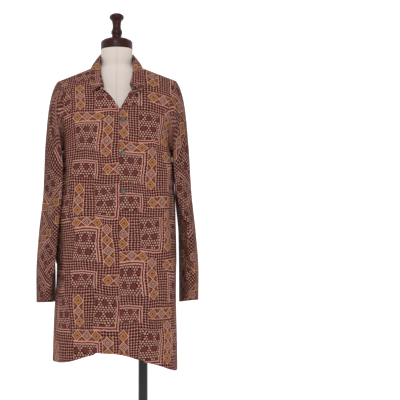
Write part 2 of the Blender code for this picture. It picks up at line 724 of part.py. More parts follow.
def make_buttons(material):
    """Round buttons on the left front, square to the cloth under each."""
    for number, (x, z) in enumerate(BUTTONS, start=1):
        levels = np.linspace(*BUTTON_LEVELS, BUTTON_SEARCH)
        places = place_of((x - BODY_SHIFT_X) / half_width(-1, levels), levels)
        row = np.argmin(np.abs(body(-1, places, levels)[:, 2] - z))
        level = levels[row]
        place = places[row]
        here = body(-1, place, level)
        right = body(-1, place + PROBE_STEP, level) - body(-1, place - PROBE_STEP, level)
        low = body(-1, place, level + PROBE_STEP) - body(-1, place, level - PROBE_STEP)
        axis = np.cross(right, low)
        axis *= -np.sign(axis[1]) / np.linalg.norm(axis)
        side = right / np.linalg.norm(right)
        up = np.cross(axis, side)
        angle = np.linspace(0, 2 * math.pi, BUTTON_STEPS, endpoint=False)
        ring = np.cos(angle)[:, None] * side + np.sin(angle)[:, None] * up
        rings = [here + axis * (BUTTON_GAP + BUTTON_THICK * rise) + ring * BUTTON_RADIUS * share
                 for rise, share in BUTTON_PROFILE]
        add_solid(f"button_{number}", np.array(rings), material)


def make_form(linen, wood):
    """Torso with its neck as one loft of ovals, then the turned cap and finial."""
    angle = np.linspace(0, 2 * math.pi, FORM_STEPS, endpoint=False)
    rows = np.array(TORSO)
    half = rows[:, 1, None]
    middle = (rows[:, 2, None] + rows[:, 3, None]) / 2
    deep = (rows[:, 3, None] - rows[:, 2, None]) / 2
    square = TORSO_SQUARE * ramp(TORSO_ROUND_Z, TORSO_SQUARE_Z, rows[:, 0, None])
    x = half * (np.cos(angle) - square * np.cos(3 * angle)) / (1 - square)
    y = middle + deep * (np.sin(angle) + square * np.sin(3 * angle)) / (1 - square)
    z = rows[:, 0, None] * np.ones_like(x)
    add_solid("form_torso", np.stack((x, y, z), axis=-1), linen)
    turned("neck_cap", CAP, 0, NECK_TOP_Y, TORSO[-1][0], FORM_STEPS, wood)
    turned("finial", FINIAL, 0, NECK_TOP_Y, TORSO[-1][0], TURNED_STEPS, wood)


def make_stand(metal):
    """Flange and knob under the torso, the pole, and the round base."""
    bottom = TORSO[0][0]
    low = bottom - PART_GAP - FLANGE_THICK
    flange = np.array(FLANGE_PROFILE) * (FLANGE_THICK, FLANGE_RADIUS)
    turned("form_flange", flange, POLE_X, POLE_Y, low, TURNED_STEPS, metal)
    pole = ((BASE_THICK + PART_GAP, POLE_RADIUS), (low - PART_GAP, POLE_RADIUS))
    turned("pole", pole, POLE_X, POLE_Y, 0, TURNED_STEPS, metal)
    knob = np.array(KNOB_PROFILE) * (KNOB_LENGTH, KNOB_RADIUS)
    knob_z = bottom - PART_GAP - KNOB_LENGTH
    turned("form_knob", knob, POLE_X + KNOB_X, POLE_Y + KNOB_Y, knob_z, KNOB_STEPS, metal)
    base = ((0, BASE_RADIUS), (BASE_THICK - BASE_BEVEL, BASE_RADIUS),
            (BASE_THICK, BASE_RADIUS - BASE_BEVEL))
    turned("base_plate", base, 0, 0, 0, BASE_STEPS, metal)


def main():
    """Clears the scene and builds every piece."""
    for obj in list(bpy.data.objects):
        bpy.data.objects.remove(obj, do_unlink=True)
    cloth = principled("cloth", (0.12, 0.035, 0.03), 0.85)
    make_fronts(cloth)
    make_back(cloth)
    make_sleeves(cloth)
    make_collar(cloth)
    make_buttons(principled("shell", (0.05, 0.05, 0.04), 0.35))
    make_form(principled("linen", (0.62, 0.55, 0.46), 0.9), principled("wood", (0.10, 0.02, 0.015), 0.3))
    make_stand(principled("black_metal", (0.01, 0.01, 0.012), 0.35, 0.6))


main()
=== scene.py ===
"""Looks of a long printed blouse on a limbless dress form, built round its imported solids.

Metres, +Z up. The front faces -Y, +X is the wearer's left, and the floor is at z = 0.
"""
import math

import bmesh
import bpy
import numpy as np
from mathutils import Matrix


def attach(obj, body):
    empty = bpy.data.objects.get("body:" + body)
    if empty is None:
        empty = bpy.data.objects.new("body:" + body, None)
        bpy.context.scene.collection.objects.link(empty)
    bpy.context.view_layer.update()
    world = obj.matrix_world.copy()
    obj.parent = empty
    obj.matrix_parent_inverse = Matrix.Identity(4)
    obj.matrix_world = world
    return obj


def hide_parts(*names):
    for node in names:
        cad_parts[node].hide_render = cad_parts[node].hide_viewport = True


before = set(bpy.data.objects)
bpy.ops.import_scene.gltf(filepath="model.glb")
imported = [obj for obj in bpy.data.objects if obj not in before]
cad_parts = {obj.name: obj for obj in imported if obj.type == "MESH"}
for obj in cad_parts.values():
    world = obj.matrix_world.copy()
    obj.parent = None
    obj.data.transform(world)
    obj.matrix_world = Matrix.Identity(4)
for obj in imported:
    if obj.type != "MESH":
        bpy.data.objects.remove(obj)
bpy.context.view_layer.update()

bl_info = {
    "name": "Blouse on dress form",
    "version": (1, 0, 0),
    "blender": (4, 5, 0),
    "location": "View3D > Sidebar > Blouse",
    "description": "Builds the cloth, the form and the studio round the packed solids",
    "category": "Add Mesh",
}

# Tables shared with the solids

TIP_X = 0.177
TIP_Z = 1.3204
SHOULDER_SLOPE = 0.42
SHOULDER_TILT = 0.007
SHOULDER_ROUND = 0.030
SHOULDER_Y = 0.012
UNDERARM_Z = 1.105
NECK_POINT_X = 0.066
BACK_NECK_RISE = 0.020
BACK_NECK_DROP = 0.25
HEM_DROP = 0.590
SQUARENESS = 0.04
SHOULDER_TURN = math.radians(52)
TURN_FROM = 0.45
BODY_SHIFT_X = -0.0025
SHIFT_TOP_Z = 1.3
SHIFT_FULL_Z = 1.1
SHOULDER_FALL = 0.24
LAP_EDGE_X = 0.007
UNDERLAP_X = 0.030
UNDERLAP_DEPTH = 0.0022
UNDERLAP_START_X = -0.018
UNDERLAP_FULL_X = 0.003
COLLAR_END_X = 0.0454
COLLAR_END_DROP = 0.45
V_BOTTOM_DROP = 0.64
LAP_SHIFT_SHARE = 0.5
SEAM_GAP = 0.0004

# Columns: half width at the armhole, centre y, armhole y, centre z or drop, armhole z or drop
FRONT_ROWS = {
    "chest": (0.146, -0.078, -0.080, 0.004, 0.006),
    "bust": (0.148, -0.125, -0.094, 1.190, 1.107),
}
BACK_ROWS = {
    "chest": (0.152, 0.125, 0.078, 0.001, 0.005),
    "bust": (0.151, 0.122, 0.104, 1.200, 1.110),
}
# Below the underarm. Columns: height, half width, front y, back y, side y
SECTIONS = (
    (1.105, 0.1640, -0.138, 0.110, -0.005),
    (1.000, 0.1745, -0.150, 0.104, -0.012),
    (0.850, 0.1785, -0.161, 0.092, -0.022),
    (0.690, 0.1790, -0.175, 0.074, -0.035),
    (0.540, 0.1835, -0.190, 0.054, -0.045),
    (0.460, 0.1850, -0.196, 0.044, -0.048),
)
SIDE_Y = 4
# Side slits: how far each edge stands from the seam, out and back. Keys: face, side
SLIT_TOP = 0.780
SLIT_HEM = 0.460
SLIT_OPEN = 0.6
SLIT_EDGE = {
    (-1, -1): (0.0000, -0.012), (-1, 1): (-0.0060, -0.012),
    (1, -1): (-0.0225, 0.066), (1, 1): (-0.0225, 0.066),
}
# Columns: place across, height
FRONT_HEM = (
    (-1.00, 0.500), (-0.72, 0.506), (-0.57, 0.510), (-0.44, 0.517), (-0.33, 0.5253),
    (-0.247, 0.5325), (-0.195, 0.5355), (-0.172, 0.5415), (-0.12, 0.5420), (0.00, 0.5405),
    (0.25, 0.520), (0.50, 0.4965), (0.75, 0.480), (1.00, 0.474),
)
BACK_HEM = (
    (-1.00, 0.508), (-0.50, 0.520), (-0.05, 0.521), (0.10, 0.514), (0.26, 0.496),
    (0.50, 0.485), (1.00, 0.475),
)
# Columns: level, x, turned angle in degrees, length of the hidden strand
FOLD_LINE = (
    (0.00, 0.079, 0.0, 0.002),
    (0.25, 0.078, 0.0, 0.003),
    (0.60, 0.072, 90.0, 0.006),
    (0.85, 0.066, 160.0, 0.011),
    (1.10, 0.059, 168.0, 0.016),
    (1.50, 0.050, 170.0, 0.020),
    (2.00, 0.040, 170.0, 0.024),
)
FOLD_TURN = 0.0070
FOLD_FADE = 0.045
# Columns: side, x at top, x at hem, height of the start, half width, depth at the hem
DRAPES = (
    (-1, -0.072, -0.064, 1.02, 0.016, -0.0090),
    (-1, -0.125, -0.128, 0.98, 0.024, 0.0075),
    (-1, 0.092, 0.078, 1.00, 0.028, 0.0070),
    (-1, 0.134, 0.126, 0.94, 0.020, -0.0065),
    (1, -0.060, -0.066, 1.06, 0.030, -0.0080),
    (1, -0.112, -0.118, 1.00, 0.024, 0.0075),
    (1, 0.104, 0.098, 1.02, 0.026, 0.0065),
)
DRAPE_FULL_Z = 0.56
DRAPE_FOOT_Z = 0.48
# Columns: height, outer x, inner x, front y, back y, rise at the front, rise at the inside,
# how far the front end wraps round the body
SLEEVE_LEFT = (
    (1.060, 0.2190, 0.1820, -0.076, 0.100, 0.000, 0.000, 0.034),
    (0.980, 0.2240, 0.1840, -0.077, 0.102, 0.000, 0.000, 0.030),
    (0.870, 0.2355, 0.1865, -0.079, 0.100, 0.002, 0.000, 0.000),
    (0.770, 0.2430, 0.1875, -0.087, 0.094, 0.008, 0.000, 0.000),
    (0.662, 0.2430, 0.1880, -0.080, 0.084, 0.012, -0.003, 0.000),
)
SLEEVE_RIGHT = (
    (1.060, 0.2150, 0.1835, -0.096, 0.080, 0.000, 0.000, 0.043),
    (0.980, 0.2180, 0.1850, -0.107, 0.070, 0.000, 0.000, 0.044),
    (0.870, 0.2300, 0.1880, -0.112, 0.062, 0.002, 0.000, 0.041),
    (0.770, 0.2375, 0.1890, -0.114, 0.070, 0.010, 0.006, 0.036),
    (0.661, 0.2380, 0.1850, -0.098, 0.074, 0.010, 0.001, 0.012),
)
SLEEVE_SQUARE = 0.02
WRAP_FROM_Y = -0.030
CAP_OUT = 0.040
CAP_OUT_TOP = 0.060
CAP_FORWARD = 0.030
CAP_FALL = 0.045
CAP_FALL_TOP = 0.075
CAP_ARRIVE = 1.1
ARRIVE_ROW = 10
# Columns: place, roll x, roll y, roll z, edge x, edge level, edge lift
COLLAR = (
    (0.00, 0.0000, 0.0690, 1.4140, 0.0000, -0.330, 0.0050),
    (0.22, 0.0325, 0.0600, 1.4130, 0.0460, -0.230, 0.0050),
    (0.45, 0.0475, 0.0260, 1.4070, 0.0705, -0.045, 0.0045),
    (0.62, 0.0490, -0.0100, 1.3860, 0.0790, 0.100, 0.0045),
    (0.82, 0.0465, -0.0500, 1.3385, 0.0890, 0.300, 0.0070),
    (1.00, 0.0380, -0.0850, 1.3000, 0.0800, 0.480, 0.0170),
)
STAND_DROP = 0.0023
STAND_LIFT = 0.0008
LEAF_TURN = 0.0045
LEAF_LIE = 0.40
BUTTONS = ((0.0150, 1.1930), (0.0165, 1.0960), (0.0180, 0.9880))
BUTTON_LEVELS = (0.5, 1.6)
# Columns: height over the cloth, share of the radius
BUTTON_PROFILE = (
    (0.0003, 0.10), (0.0003, 0.80), (0.0010, 0.95), (0.0017, 1.0), (0.0026, 0.99),
    (0.0031, 0.94), (0.0033, 0.86), (0.0030, 0.76), (0.0024, 0.68), (0.0021, 0.55),
    (0.0021, 0.001),
)
# Columns: height, half width, front y, back y
TORSO = (
    (0.652, 0.138, -0.112, 0.050),
    (0.668, 0.148, -0.120, 0.056),
    (0.720, 0.152, -0.122, 0.058),
    (0.800, 0.151, -0.112, 0.066),
    (0.900, 0.140, -0.096, 0.070),
    (1.000, 0.120, -0.084, 0.066),
    (1.080, 0.128, -0.098, 0.074),
    (1.145, 0.136, -0.120, 0.086),
    (1.200, 0.138, -0.102, 0.094),
    (1.250, 0.142, -0.076, 0.092),
    (1.285, 0.154, -0.052, 0.080),
    (1.309, 0.162, -0.036, 0.056),
    (1.323, 0.155, -0.029, 0.046),
    (1.335, 0.129, -0.026, 0.046),
    (1.347, 0.097, -0.024, 0.050),
    (1.358, 0.069, -0.023, 0.058),
    (1.369, 0.051, -0.024, 0.067),
    (1.390, 0.0475, -0.0345, 0.0605),
    (1.4143, 0.0475, -0.0453, 0.0497),
)
TORSO_SQUARE = 0.03
# Linen: noise scales of its slubs along and across, then shares of its colour and heights
SLUB_LONG = 40
SLUB_FINE = 1400
SLUB_SHARE = 0.8
SLUB_DARK = 0.72
SEAM_HALF = 0.0007
SEAM_SHARE = 0.15
SEAM_DARK = 0.4
SEAM_DEPTH = 2.0
LINEN_RELIEF = 0.0005
# Wood: noise scales of its grain, its dark share, and the relief of wood and paint
GRAIN_SCALE = (220, 220, 18)
GRAIN_DARK = 0.35
FINE_RELIEF = 0.0002
TORSO_ROUND_Z = 1.37
TORSO_SQUARE_Z = 1.30
NECK_TOP_Y = 0.0022
# Columns: height above the neck, radius
CAP = (
    (0.0003, 0.0000), (0.0003, 0.0440), (0.0012, 0.0462), (0.0030, 0.0478), (0.0110, 0.0481),
    (0.0118, 0.0475), (0.0126, 0.0481), (0.0205, 0.0480), (0.0240, 0.0466), (0.0265, 0.0445),
    (0.0295, 0.0400), (0.0315, 0.0345), (0.0333, 0.0295), (0.0345, 0.0250), (0.0356, 0.0195),
    (0.0360, 0.0170), (0.0360, 0.0000),
)
FINIAL = (
    (0.0363, 0.0000), (0.0363, 0.0140), (0.0400, 0.0150), (0.0430, 0.0142), (0.0472, 0.0158),
    (0.0500, 0.0167), (0.0532, 0.0169), (0.0562, 0.0164), (0.0592, 0.0152), (0.0620, 0.0138),
    (0.0652, 0.0129), (0.0712, 0.0124), (0.0790, 0.0130), (0.0840, 0.0142), (0.0862, 0.0146),
    (0.0878, 0.0155), (0.0892, 0.0170), (0.0915, 0.0196), (0.0945, 0.0213), (0.0970, 0.0219),
    (0.0990, 0.0219), (0.1014, 0.0211), (0.1035, 0.0196), (0.1056, 0.0170), (0.1075, 0.0136),
    (0.1090, 0.0090), (0.1100, 0.0040), (0.1100, 0.0000),
)
POLE_X = 0.077
POLE_Y = -0.046
POLE_RADIUS = 0.0137
# Columns: height, radius
BASE_PROFILE = (
    (0, 0), (0, 0.169), (0.001, 0.170), (0.007, 0.170), (0.0091, 0.1691), (0.010, 0.167),
    (0.010, 0),
)
FLANGE_PROFILE = (
    (0, 0), (0, 0.01892), (0.0008, 0.0209), (0.002, 0.022), (0.011, 0.022), (0.012, 0.021),
    (0.012, 0),
)
KNOB_PROFILE = (
    (0, 0), (0, 0.005175), (0.01728, 0.00575), (0.01872, 0.01035), (0.02088, 0.0115),
    (0.03384, 0.0115), (0.036, 0.01035), (0.036, 0),
)
KNOB_X = 0.030
KNOB_Y = -0.021
PART_GAP = 0.0003

# Mesh density of the dressed pieces
UPPER_ROWS = 90
LOWER_ROWS = 110
NECK_STEPS = 20
LAP_STEPS = 8
UNDERLAP_STEPS = 12
SHOULDER_STEPS = 40
CAP_ROWS = 36
HANG_ROWS = 110
SLEEVE_RING = 96
STAND_ROWS = 10
LEAF_ROWS = 26
STRAND = tuple(np.concatenate((
    np.linspace(0, 1, 11)[:-1], np.linspace(1, 2, 5)[:-1], np.linspace(2, 3, 11))))
STRAND_FINE = 6
FORM_ROWS = 12
FORM_RING = 128
WOOD_RING = 96
BUTTON_RING = 64
STUDIO_BEND_ROWS = 24
STUDIO_RING = 96
# Angles in degrees past which an edge is shaded sharp
SHARP_CLOTH = 50
SHARP_TURNED = 35
SHARP_BUTTON = 60

# Where each piece is cut from the printed cloth: across and up, in metres
CUT_FROM = {
    "front_left": (0.000, 0.000),
    "front_right": (0.127, -0.094),
    "back": (0.068, 0.143),
    "sleeve_left": (0.031, 0.052),
    "sleeve_right": (0.160, -0.037),
    "collar_leaf": (0.085, 0.019),
}
BACK_HALF = 0.2
# Share of painted shade that darkens the sleeves' cloth towards black, and how their grain lies to the
# arm
SLEEVE_PAINTED_SHADE = 0.22
SLEEVE_GRAIN = math.radians(45)

# Studio
STUDIO_RADIUS = 6.0
STUDIO_BEND = 1.6
STUDIO_HEIGHT = 7.0
STUDIO_MIDDLE = 0.01
FLOOR_GAP = 0.0005
WHITE = (1, 1, 1, 1)
PAPER = (0.5, 0.5, 0.5, 1)
PAPER_GLOW = 0.75
GLOW_IN_FRONT = (0.40, 0.40, 0.40, 1)
SKY_STRENGTH = 0.5
# Columns: name, place, width, power in watts
LAMPS = (
    ("key", (-0.45, -3.0, 2.4), 1.0, 38.0),
    ("fill", (0.6, -3.0, 1.3), 1.2, 10.0),
    ("top", (0.0, -0.4, 3.2), 1.6, 4.0),
    ("rear", (0.6, 2.8, 2.4), 1.2, 34.0),
)
LAMP_AIM = (0, 0, 1)
CAMERA_PLACE = (0.0, -2.2, 0.964)
CAMERA_SENSOR = 36.0
CAMERA_LENS = 66.0
CAMERA_SHIFT = 0.208

# Search and probe steps, and the least length and radius
SHORTEST = 1e-12
CLOSED_RADIUS = 1e-5
NEWTON_START = 0.7
NEWTON_STEPS = 6
NEWTON_FLOOR = 0.2
PROBE_STEP = 0.004
BUTTON_SEARCH = 400

CREASE_TAPER = 1.5
# Creases of the fronts and the back. Columns: side, x and z of the top, x and z of the foot,
# half width, depth (outward positive)
CREASES = (
    (-1, -0.150, 1.175, -0.080, 1.055, 0.011, -0.0045),
    (-1, -0.158, 1.150, -0.112, 0.960, 0.012, 0.0040),
    (-1, -0.158, 1.160, -0.158, 0.930, 0.012, -0.0110),
    (-1, -0.168, 0.930, -0.172, 0.640, 0.011, -0.0110),
    (-1, 0.152, 1.170, 0.092, 1.065, 0.011, -0.0045),
    (-1, 0.160, 1.140, 0.126, 0.940, 0.012, 0.0040),
    (-1, 0.160, 1.040, 0.160, 0.800, 0.010, -0.0070),
    (-1, -0.056, 1.288, -0.026, 1.272, 0.007, -0.0140),
    (-1, 0.030, 1.290, 0.070, 1.268, 0.007, -0.0140),
    (-1, -0.040, 1.010, -0.066, 0.800, 0.012, -0.0022),
    (-1, 0.062, 0.930, 0.050, 0.640, 0.013, 0.0028),
    (-1, 0.112, 0.800, 0.104, 0.560, 0.010, -0.0030),
    (-1, -0.104, 0.760, -0.098, 0.540, 0.010, 0.0026),
    (1, -0.140, 1.170, -0.096, 1.020, 0.012, -0.0040),
    (1, 0.130, 1.120, 0.118, 0.580, 0.020, -0.0160),
    (1, -0.158, 1.130, -0.160, 0.640, 0.013, -0.0100),
    (1, -0.150, 1.060, -0.140, 0.740, 0.014, 0.0040),
    (1, 0.010, 1.020, 0.016, 0.720, 0.014, -0.0030),
    (1, -0.030, 0.880, -0.026, 0.560, 0.013, 0.0034),
)
# Creases of the sleeves. Columns: side, angle and z of the top, angle and z of the foot,
# half width as an angle, depth (outward positive)
SLEEVE_CREASES = (
    (1, 2.30, 0.815, 1.35, 0.712, 0.20, -0.0065),
    (1, 2.40, 0.785, 1.55, 0.690, 0.18, 0.0040),
    (1, 2.00, 1.070, 1.30, 0.870, 0.24, -0.0045),
    (1, 1.25, 0.990, 1.50, 0.740, 0.22, 0.0040),
    (1, 0.55, 1.120, 0.90, 0.830, 0.25, -0.0040),
    (1, 5.45, 1.080, 5.15, 0.720, 0.26, -0.0060),
    (1, 4.60, 1.020, 4.80, 0.700, 0.26, 0.0045),
    (1, 3.15, 1.120, 3.15, 0.860, 0.50, 0.0085),
    (1, 3.15, 1.102, 3.15, 1.000, 0.50, 0.0060),
    (1, 3.15, 1.104, 3.15, 1.040, 0.50, 0.0065),
    (1, 4.05, 1.080, 3.95, 0.670, 0.28, -0.0100),
    (1, 2.45, 1.080, 2.35, 0.680, 0.30, -0.0090),
    (-1, 2.20, 1.070, 1.70, 0.850, 0.24, -0.0050),
    (-1, 1.20, 1.010, 1.50, 0.720, 0.24, 0.0042),
    (-1, 1.80, 0.910, 1.95, 0.690, 0.20, -0.0055),
    (-1, 0.50, 1.120, 0.80, 0.810, 0.25, -0.0040),
    (-1, 5.35, 1.080, 5.10, 0.730, 0.26, -0.0055),
    (-1, 4.70, 1.010, 4.85, 0.700, 0.26, 0.0045),
    (-1, 3.10, 0.880, 3.10, 0.630, 0.60, 0.0065),
    (-1, 4.05, 1.080, 3.95, 0.680, 0.28, -0.0090),
    (-1, 2.30, 1.070, 2.20, 0.690, 0.26, -0.0080),
)


def hermite(start, leave, end, arrive, s):
    """Cubic between two ends, with a slope at each."""
    return (start * (2 * s**3 - 3 * s**2 + 1) + leave * (s**3 - 2 * s**2 + s)
            + end * (3 * s**2 - 2 * s**3) + arrive * (s**3 - s**2))


def spline(table, column, at):
    """Smooth curve through one column of a table, as cubic pieces with averaged slopes."""
    rows = np.array(table)
    order = np.argsort(rows[:, 0])
    knots = rows[order, 0]
    values = rows[order, column]
    slopes = np.gradient(values, knots)
    at = np.clip(at, knots[0], knots[-1])
    cell = np.clip(np.searchsorted(knots, at, side="right") - 1, 0, len(knots) - 2)
    width = knots[cell + 1] - knots[cell]
    return hermite(values[cell], slopes[cell] * width, values[cell + 1], slopes[cell + 1] * width,
                   (at - knots[cell]) / width)


def bezier(a, b, c, d, v):
    """Cubic with ends a and d and handles b and c."""
    w = 1 - v
    return w**3 * a + 3 * w**2 * v * b + 3 * w * v**2 * c + v**3 * d


def ramp(low, high, value):
    """Smooth step from 0 at low to 1 at high."""
    s = np.clip((value - low) / (high - low), 0, 1)
    return s * s * (3 - 2 * s)


def turn(level):
    """Angle that the body turns through from its middle to its edge at each level."""
    return SHOULDER_TURN + (math.pi / 2 - SHOULDER_TURN) * ramp(TURN_FROM, 1.0, level)


def sideways(angle):
    """A sine with a little of its third overtone, for a rounded oval."""
    return np.sin(angle) + SQUARENESS * np.sin(3 * angle)


def across(a, level):
    """Share of the half width at place a."""
    return sideways(a * turn(level)) / sideways(turn(level))


def forward(a, level):
    """Share of the depth at place a, 1 in the middle and 0 at the edge."""
    angle = a * turn(level)
    near = np.cos(angle) - SQUARENESS * np.cos(3 * angle)
    edge = np.cos(turn(level)) - SQUARENESS * np.cos(3 * turn(level))
    return (near - edge) / (1 - SQUARENESS - edge)


def place_of(share, level):
    """Place a whose across() gives a share of the half width, by steps of Newton's rule."""
    full = turn(level)
    a = np.asarray(share) * NEWTON_START
    for _ in range(NEWTON_STEPS):
        slope = np.cos(a * full) + 3 * SQUARENESS * np.cos(3 * a * full)
        a = a - (across(a, level) - share) * sideways(full) / np.maximum(slope * full, NEWTON_FLOOR)
    return a


def half_width(face, level):
    """Half width of the body at each level, at the armhole above the underarm."""
    rows = FRONT_ROWS if face < 0 else BACK_ROWS
    height = UNDERARM_Z - (level - 1) * HEM_DROP
    upper = bezier(TIP_X, rows["chest"][0], rows["bust"][0], SECTIONS[0][1], np.clip(level, 0, 1))
    return np.where(level > 1, spline(SECTIONS, 1, height), upper)


def shoulder(x, face):
    """Height of the shoulder line at x, a little higher on the wearer's left.

    The back of the neck is raised inside the collar.
    """
    run = np.sqrt(x**2 + SHOULDER_ROUND**2)
    full = math.hypot(TIP_X, SHOULDER_ROUND)
    rise = np.clip(1 - (x / NECK_POINT_X) ** 2, 0, 1) ** 2
    height = TIP_Z + SHOULDER_TILT * x + SHOULDER_SLOPE * (full - run)
    return height + BACK_NECK_RISE * rise * (face > 0)


def drapes(face, x, z):
    """Sum of the soft vertical folds at x and z, each a bell across that deepens downwards."""
    total = np.zeros(np.broadcast(x, z).shape)
    for side, top_x, hem_x, start, half, depth in DRAPES:
        if side != face:
            continue
        down = ramp(start, DRAPE_FULL_Z, z)
        middle = top_x + (hem_x - top_x) * (start - z) / (start - DRAPE_FOOT_Z)
        total += depth * down * np.exp(-(((x - middle) / half) ** 2))
    return total


def swell(along):
    """Rise and fall of a crease along its line: a sine's half wave, thinned at its ends."""
    return np.sin(math.pi * np.clip(along, 0, 1)) ** CREASE_TAPER


def creases(face, x, z):
    """Sum of the fine creases: each is a bell across its line that swells and dies along it."""
    total = np.zeros(np.broadcast(x, z).shape)
    for side, x0, z0, x1, z1, half, depth in CREASES:
        if side != face:
            continue
        run = math.hypot(x1 - x0, z1 - z0)
        ux, uz = (x1 - x0) / run, (z1 - z0) / run
        along = ((x - x0) * ux + (z - z0) * uz) / run
        off = (x - x0) * uz - (z - z0) * ux
        total += depth * swell(along) * np.exp(-((off / half) ** 2))
    return total


def body(face, a, level):
    """Outer face of the garment's body.

    face is -1 for the front and 1 for the back, a runs from -1 to 1 across it, and level
    is 0 at the shoulder, 1 at the underarm and 2 at the hem. Above the underarm each
    place follows a cubic from the shoulder over the chest. Below it, each height is half
    of a rounded oval, and the drapes push it in and out.
    """
    rows = FRONT_ROWS if face < 0 else BACK_ROWS
    middle = 2 if face < 0 else 3
    a, level = np.broadcast_arrays(a, level)
    share = across(a, level)
    edge = 1 - forward(a, level)
    under = SECTIONS[0]
    chest_x, chest_c, chest_e, chest_dc, chest_de = rows["chest"]
    bust_x, bust_c, bust_e, bust_zc, bust_ze = rows["bust"]
    v = np.clip(level, 0, 1)
    top_z = shoulder(TIP_X * share, face)
    x = share * bezier(TIP_X, chest_x, bust_x, under[1], v)
    y = bezier(
        SHOULDER_Y * (1 - edge),
        chest_c + (chest_e - chest_c) * edge,
        bust_c + (bust_e - bust_c) * edge,
        under[middle] + (under[SIDE_Y] - under[middle]) * edge,
        v,
    )
    z = bezier(
        top_z,
        top_z - (chest_dc + (chest_de - chest_dc) * edge),
        bust_zc + (bust_ze - bust_zc) * edge,
        UNDERARM_Z,
        v,
    )
    hem = FRONT_HEM if face < 0 else BACK_HEM
    low_z = UNDERARM_Z + (level - 1) * (spline(hem, 1, a) - UNDERARM_Z)
    slit = np.clip((SLIT_TOP - low_z) / (SLIT_TOP - SLIT_HEM), 0, 1) ** SLIT_OPEN
    right_edge, left_edge = SLIT_EDGE[face, -1], SLIT_EDGE[face, 1]
    side_y = spline(SECTIONS, SIDE_Y, low_z) + np.where(a < 0, right_edge[1], left_edge[1]) * slit
    side_x = spline(SECTIONS, 1, low_z) + np.where(a < 0, right_edge[0], left_edge[0]) * slit
    low_x = side_x * share
    low_y = side_y + (spline(SECTIONS, middle, low_z) - side_y) * (1 - edge)
    below = level > 1
    x = np.where(below, low_x, x)
    y = np.where(below, low_y, y)
    z = np.where(below, low_z, z)
    push = drapes(face, x, z) * np.sqrt(1 - edge)
    shift = BODY_SHIFT_X * ramp(SHIFT_TOP_Z, SHIFT_FULL_Z, z)
    return np.stack((x + shift, y + face * push, z), axis=-1)


def unit(vectors):
    """Vectors scaled to length one."""
    return vectors / np.maximum(np.linalg.norm(vectors, axis=-1, keepdims=True), SHORTEST)


def bisector(points, axis, wrap):
    """Direction of a grid's lines at each point, halfway between the two cells it joins."""
    if wrap:
        ahead = unit(np.roll(points, -1, axis=axis) - points)
        return ahead + np.roll(ahead, 1, axis=axis)
    ahead = unit(np.diff(points, axis=axis))
    first = ahead[:1] if axis == 0 else ahead[:, :1]
    last = ahead[-1:] if axis == 0 else ahead[:, -1:]
    return np.concatenate((first, ahead), axis=axis) + np.concatenate((ahead, last), axis=axis)


def normals(points, wrap=False):
    """Unit normals of a grid of points, square to the bisectors of its rows and columns."""
    return unit(np.cross(bisector(points, 1, wrap), bisector(points, 0, False)))


def facing_like(points, facing, wrap=False):
    """Unit normals of a moved grid, on the side that its former ones face."""
    fresh = normals(points, wrap)
    return fresh * np.sign((fresh * facing).sum())


def probe(face, a, level):
    """Point of the body's outer face, its unit way to the wearer's left and its unit normal."""
    left = body(face, a + PROBE_STEP, level) - body(face, a - PROBE_STEP, level)
    low = body(face, a, level + PROBE_STEP) - body(face, a, np.maximum(level - PROBE_STEP, 0))
    return body(face, a, level), unit(left), unit(face * np.cross(left, low))


def on_body(x, level, lift):
    """Point over the body at a place along the shoulder and a signed level, lifted off it."""
    a = np.sign(x) * place_of(np.abs(x) / TIP_X, 0)
    points = []
    for face in (-1, 1):
        here, _, out = probe(face, a, np.abs(level))
        points.append(here + out * np.asarray(lift)[..., None])
    return np.where((level < 0)[..., None], points[1], points[0])


def lengths(points, axis):
    """Running length of a grid's lines along one axis, from zero."""
    step = np.linalg.norm(np.diff(points, axis=axis), axis=-1)
    return np.concatenate((np.zeros_like(np.take(step, [0], axis)), np.cumsum(step, axis=axis)), axis)


# Steps of the tables that say where each point lies on the flat cloth

MAP_PLACES = np.linspace(-1, 1, 241)
MAP_LEVELS = np.linspace(0, 2, 161)
MAP_END = 0.001


def cloth_map(face):
    """Tables of cloth width and length over the body.

    The width is the run of each level's line from the middle, seen from above, and the
    length is the height of the shoulder line less the run of each place's line.
    """
    grid = body(face, MAP_PLACES[None, :], MAP_LEVELS[:, None])
    width = lengths(grid[..., :2], 1)
    width -= width[:, len(MAP_PLACES) // 2, None]
    return width, grid[:1, :, 2] - lengths(grid, 0)


def lookup(table, a, level):
    """Value of a table over places and levels, straight between its entries."""
    col = np.clip((a + 1) / 2 * (len(MAP_PLACES) - 1), 0, len(MAP_PLACES) - 1 - MAP_END)
    row = np.clip(level / 2 * (len(MAP_LEVELS) - 1), 0, len(MAP_LEVELS) - 1 - MAP_END)
    i = row.astype(int)
    j = col.astype(int)
    s = row - i
    t = col - j
    upper = table[i, j] * (1 - t) + table[i, j + 1] * t
    lower = table[i + 1, j] * (1 - t) + table[i + 1, j + 1] * t
    return upper * (1 - s) + lower * s


def principled(name, roughness, gloss):
    """Material with its shader, ready for its nodes. gloss is the level of its reflections."""
    material = bpy.data.materials.new(name)
    material.use_nodes = True
    shader = material.node_tree.nodes["Principled BSDF"]
    shader.inputs["Roughness"].default_value = roughness
    shader.inputs["Specular IOR Level"].default_value = gloss
    return material


def finish_mesh(name, verts, faces, materials):
    """Object from points and faces, with its materials."""
    mesh = bpy.data.meshes.new(name)
    mesh.from_pydata(verts.tolist(), [], faces)
    for material in materials:
        mesh.materials.append(material)
    obj = bpy.data.objects.new(name, mesh)
    bpy.context.scene.collection.objects.link(obj)
    return obj


def turn_outwards(obj, sharp):
    """Turns a closed mesh's faces outwards and shades it smooth, but for sharp edges."""
    work = bmesh.new()
    work.from_mesh(obj.data)
    bmesh.ops.recalc_face_normals(work, faces=work.faces)
    work.to_mesh(obj.data)
    work.free()
    obj.data.shade_smooth()
    obj.data.set_sharp_from_angle(angle=math.radians(sharp))


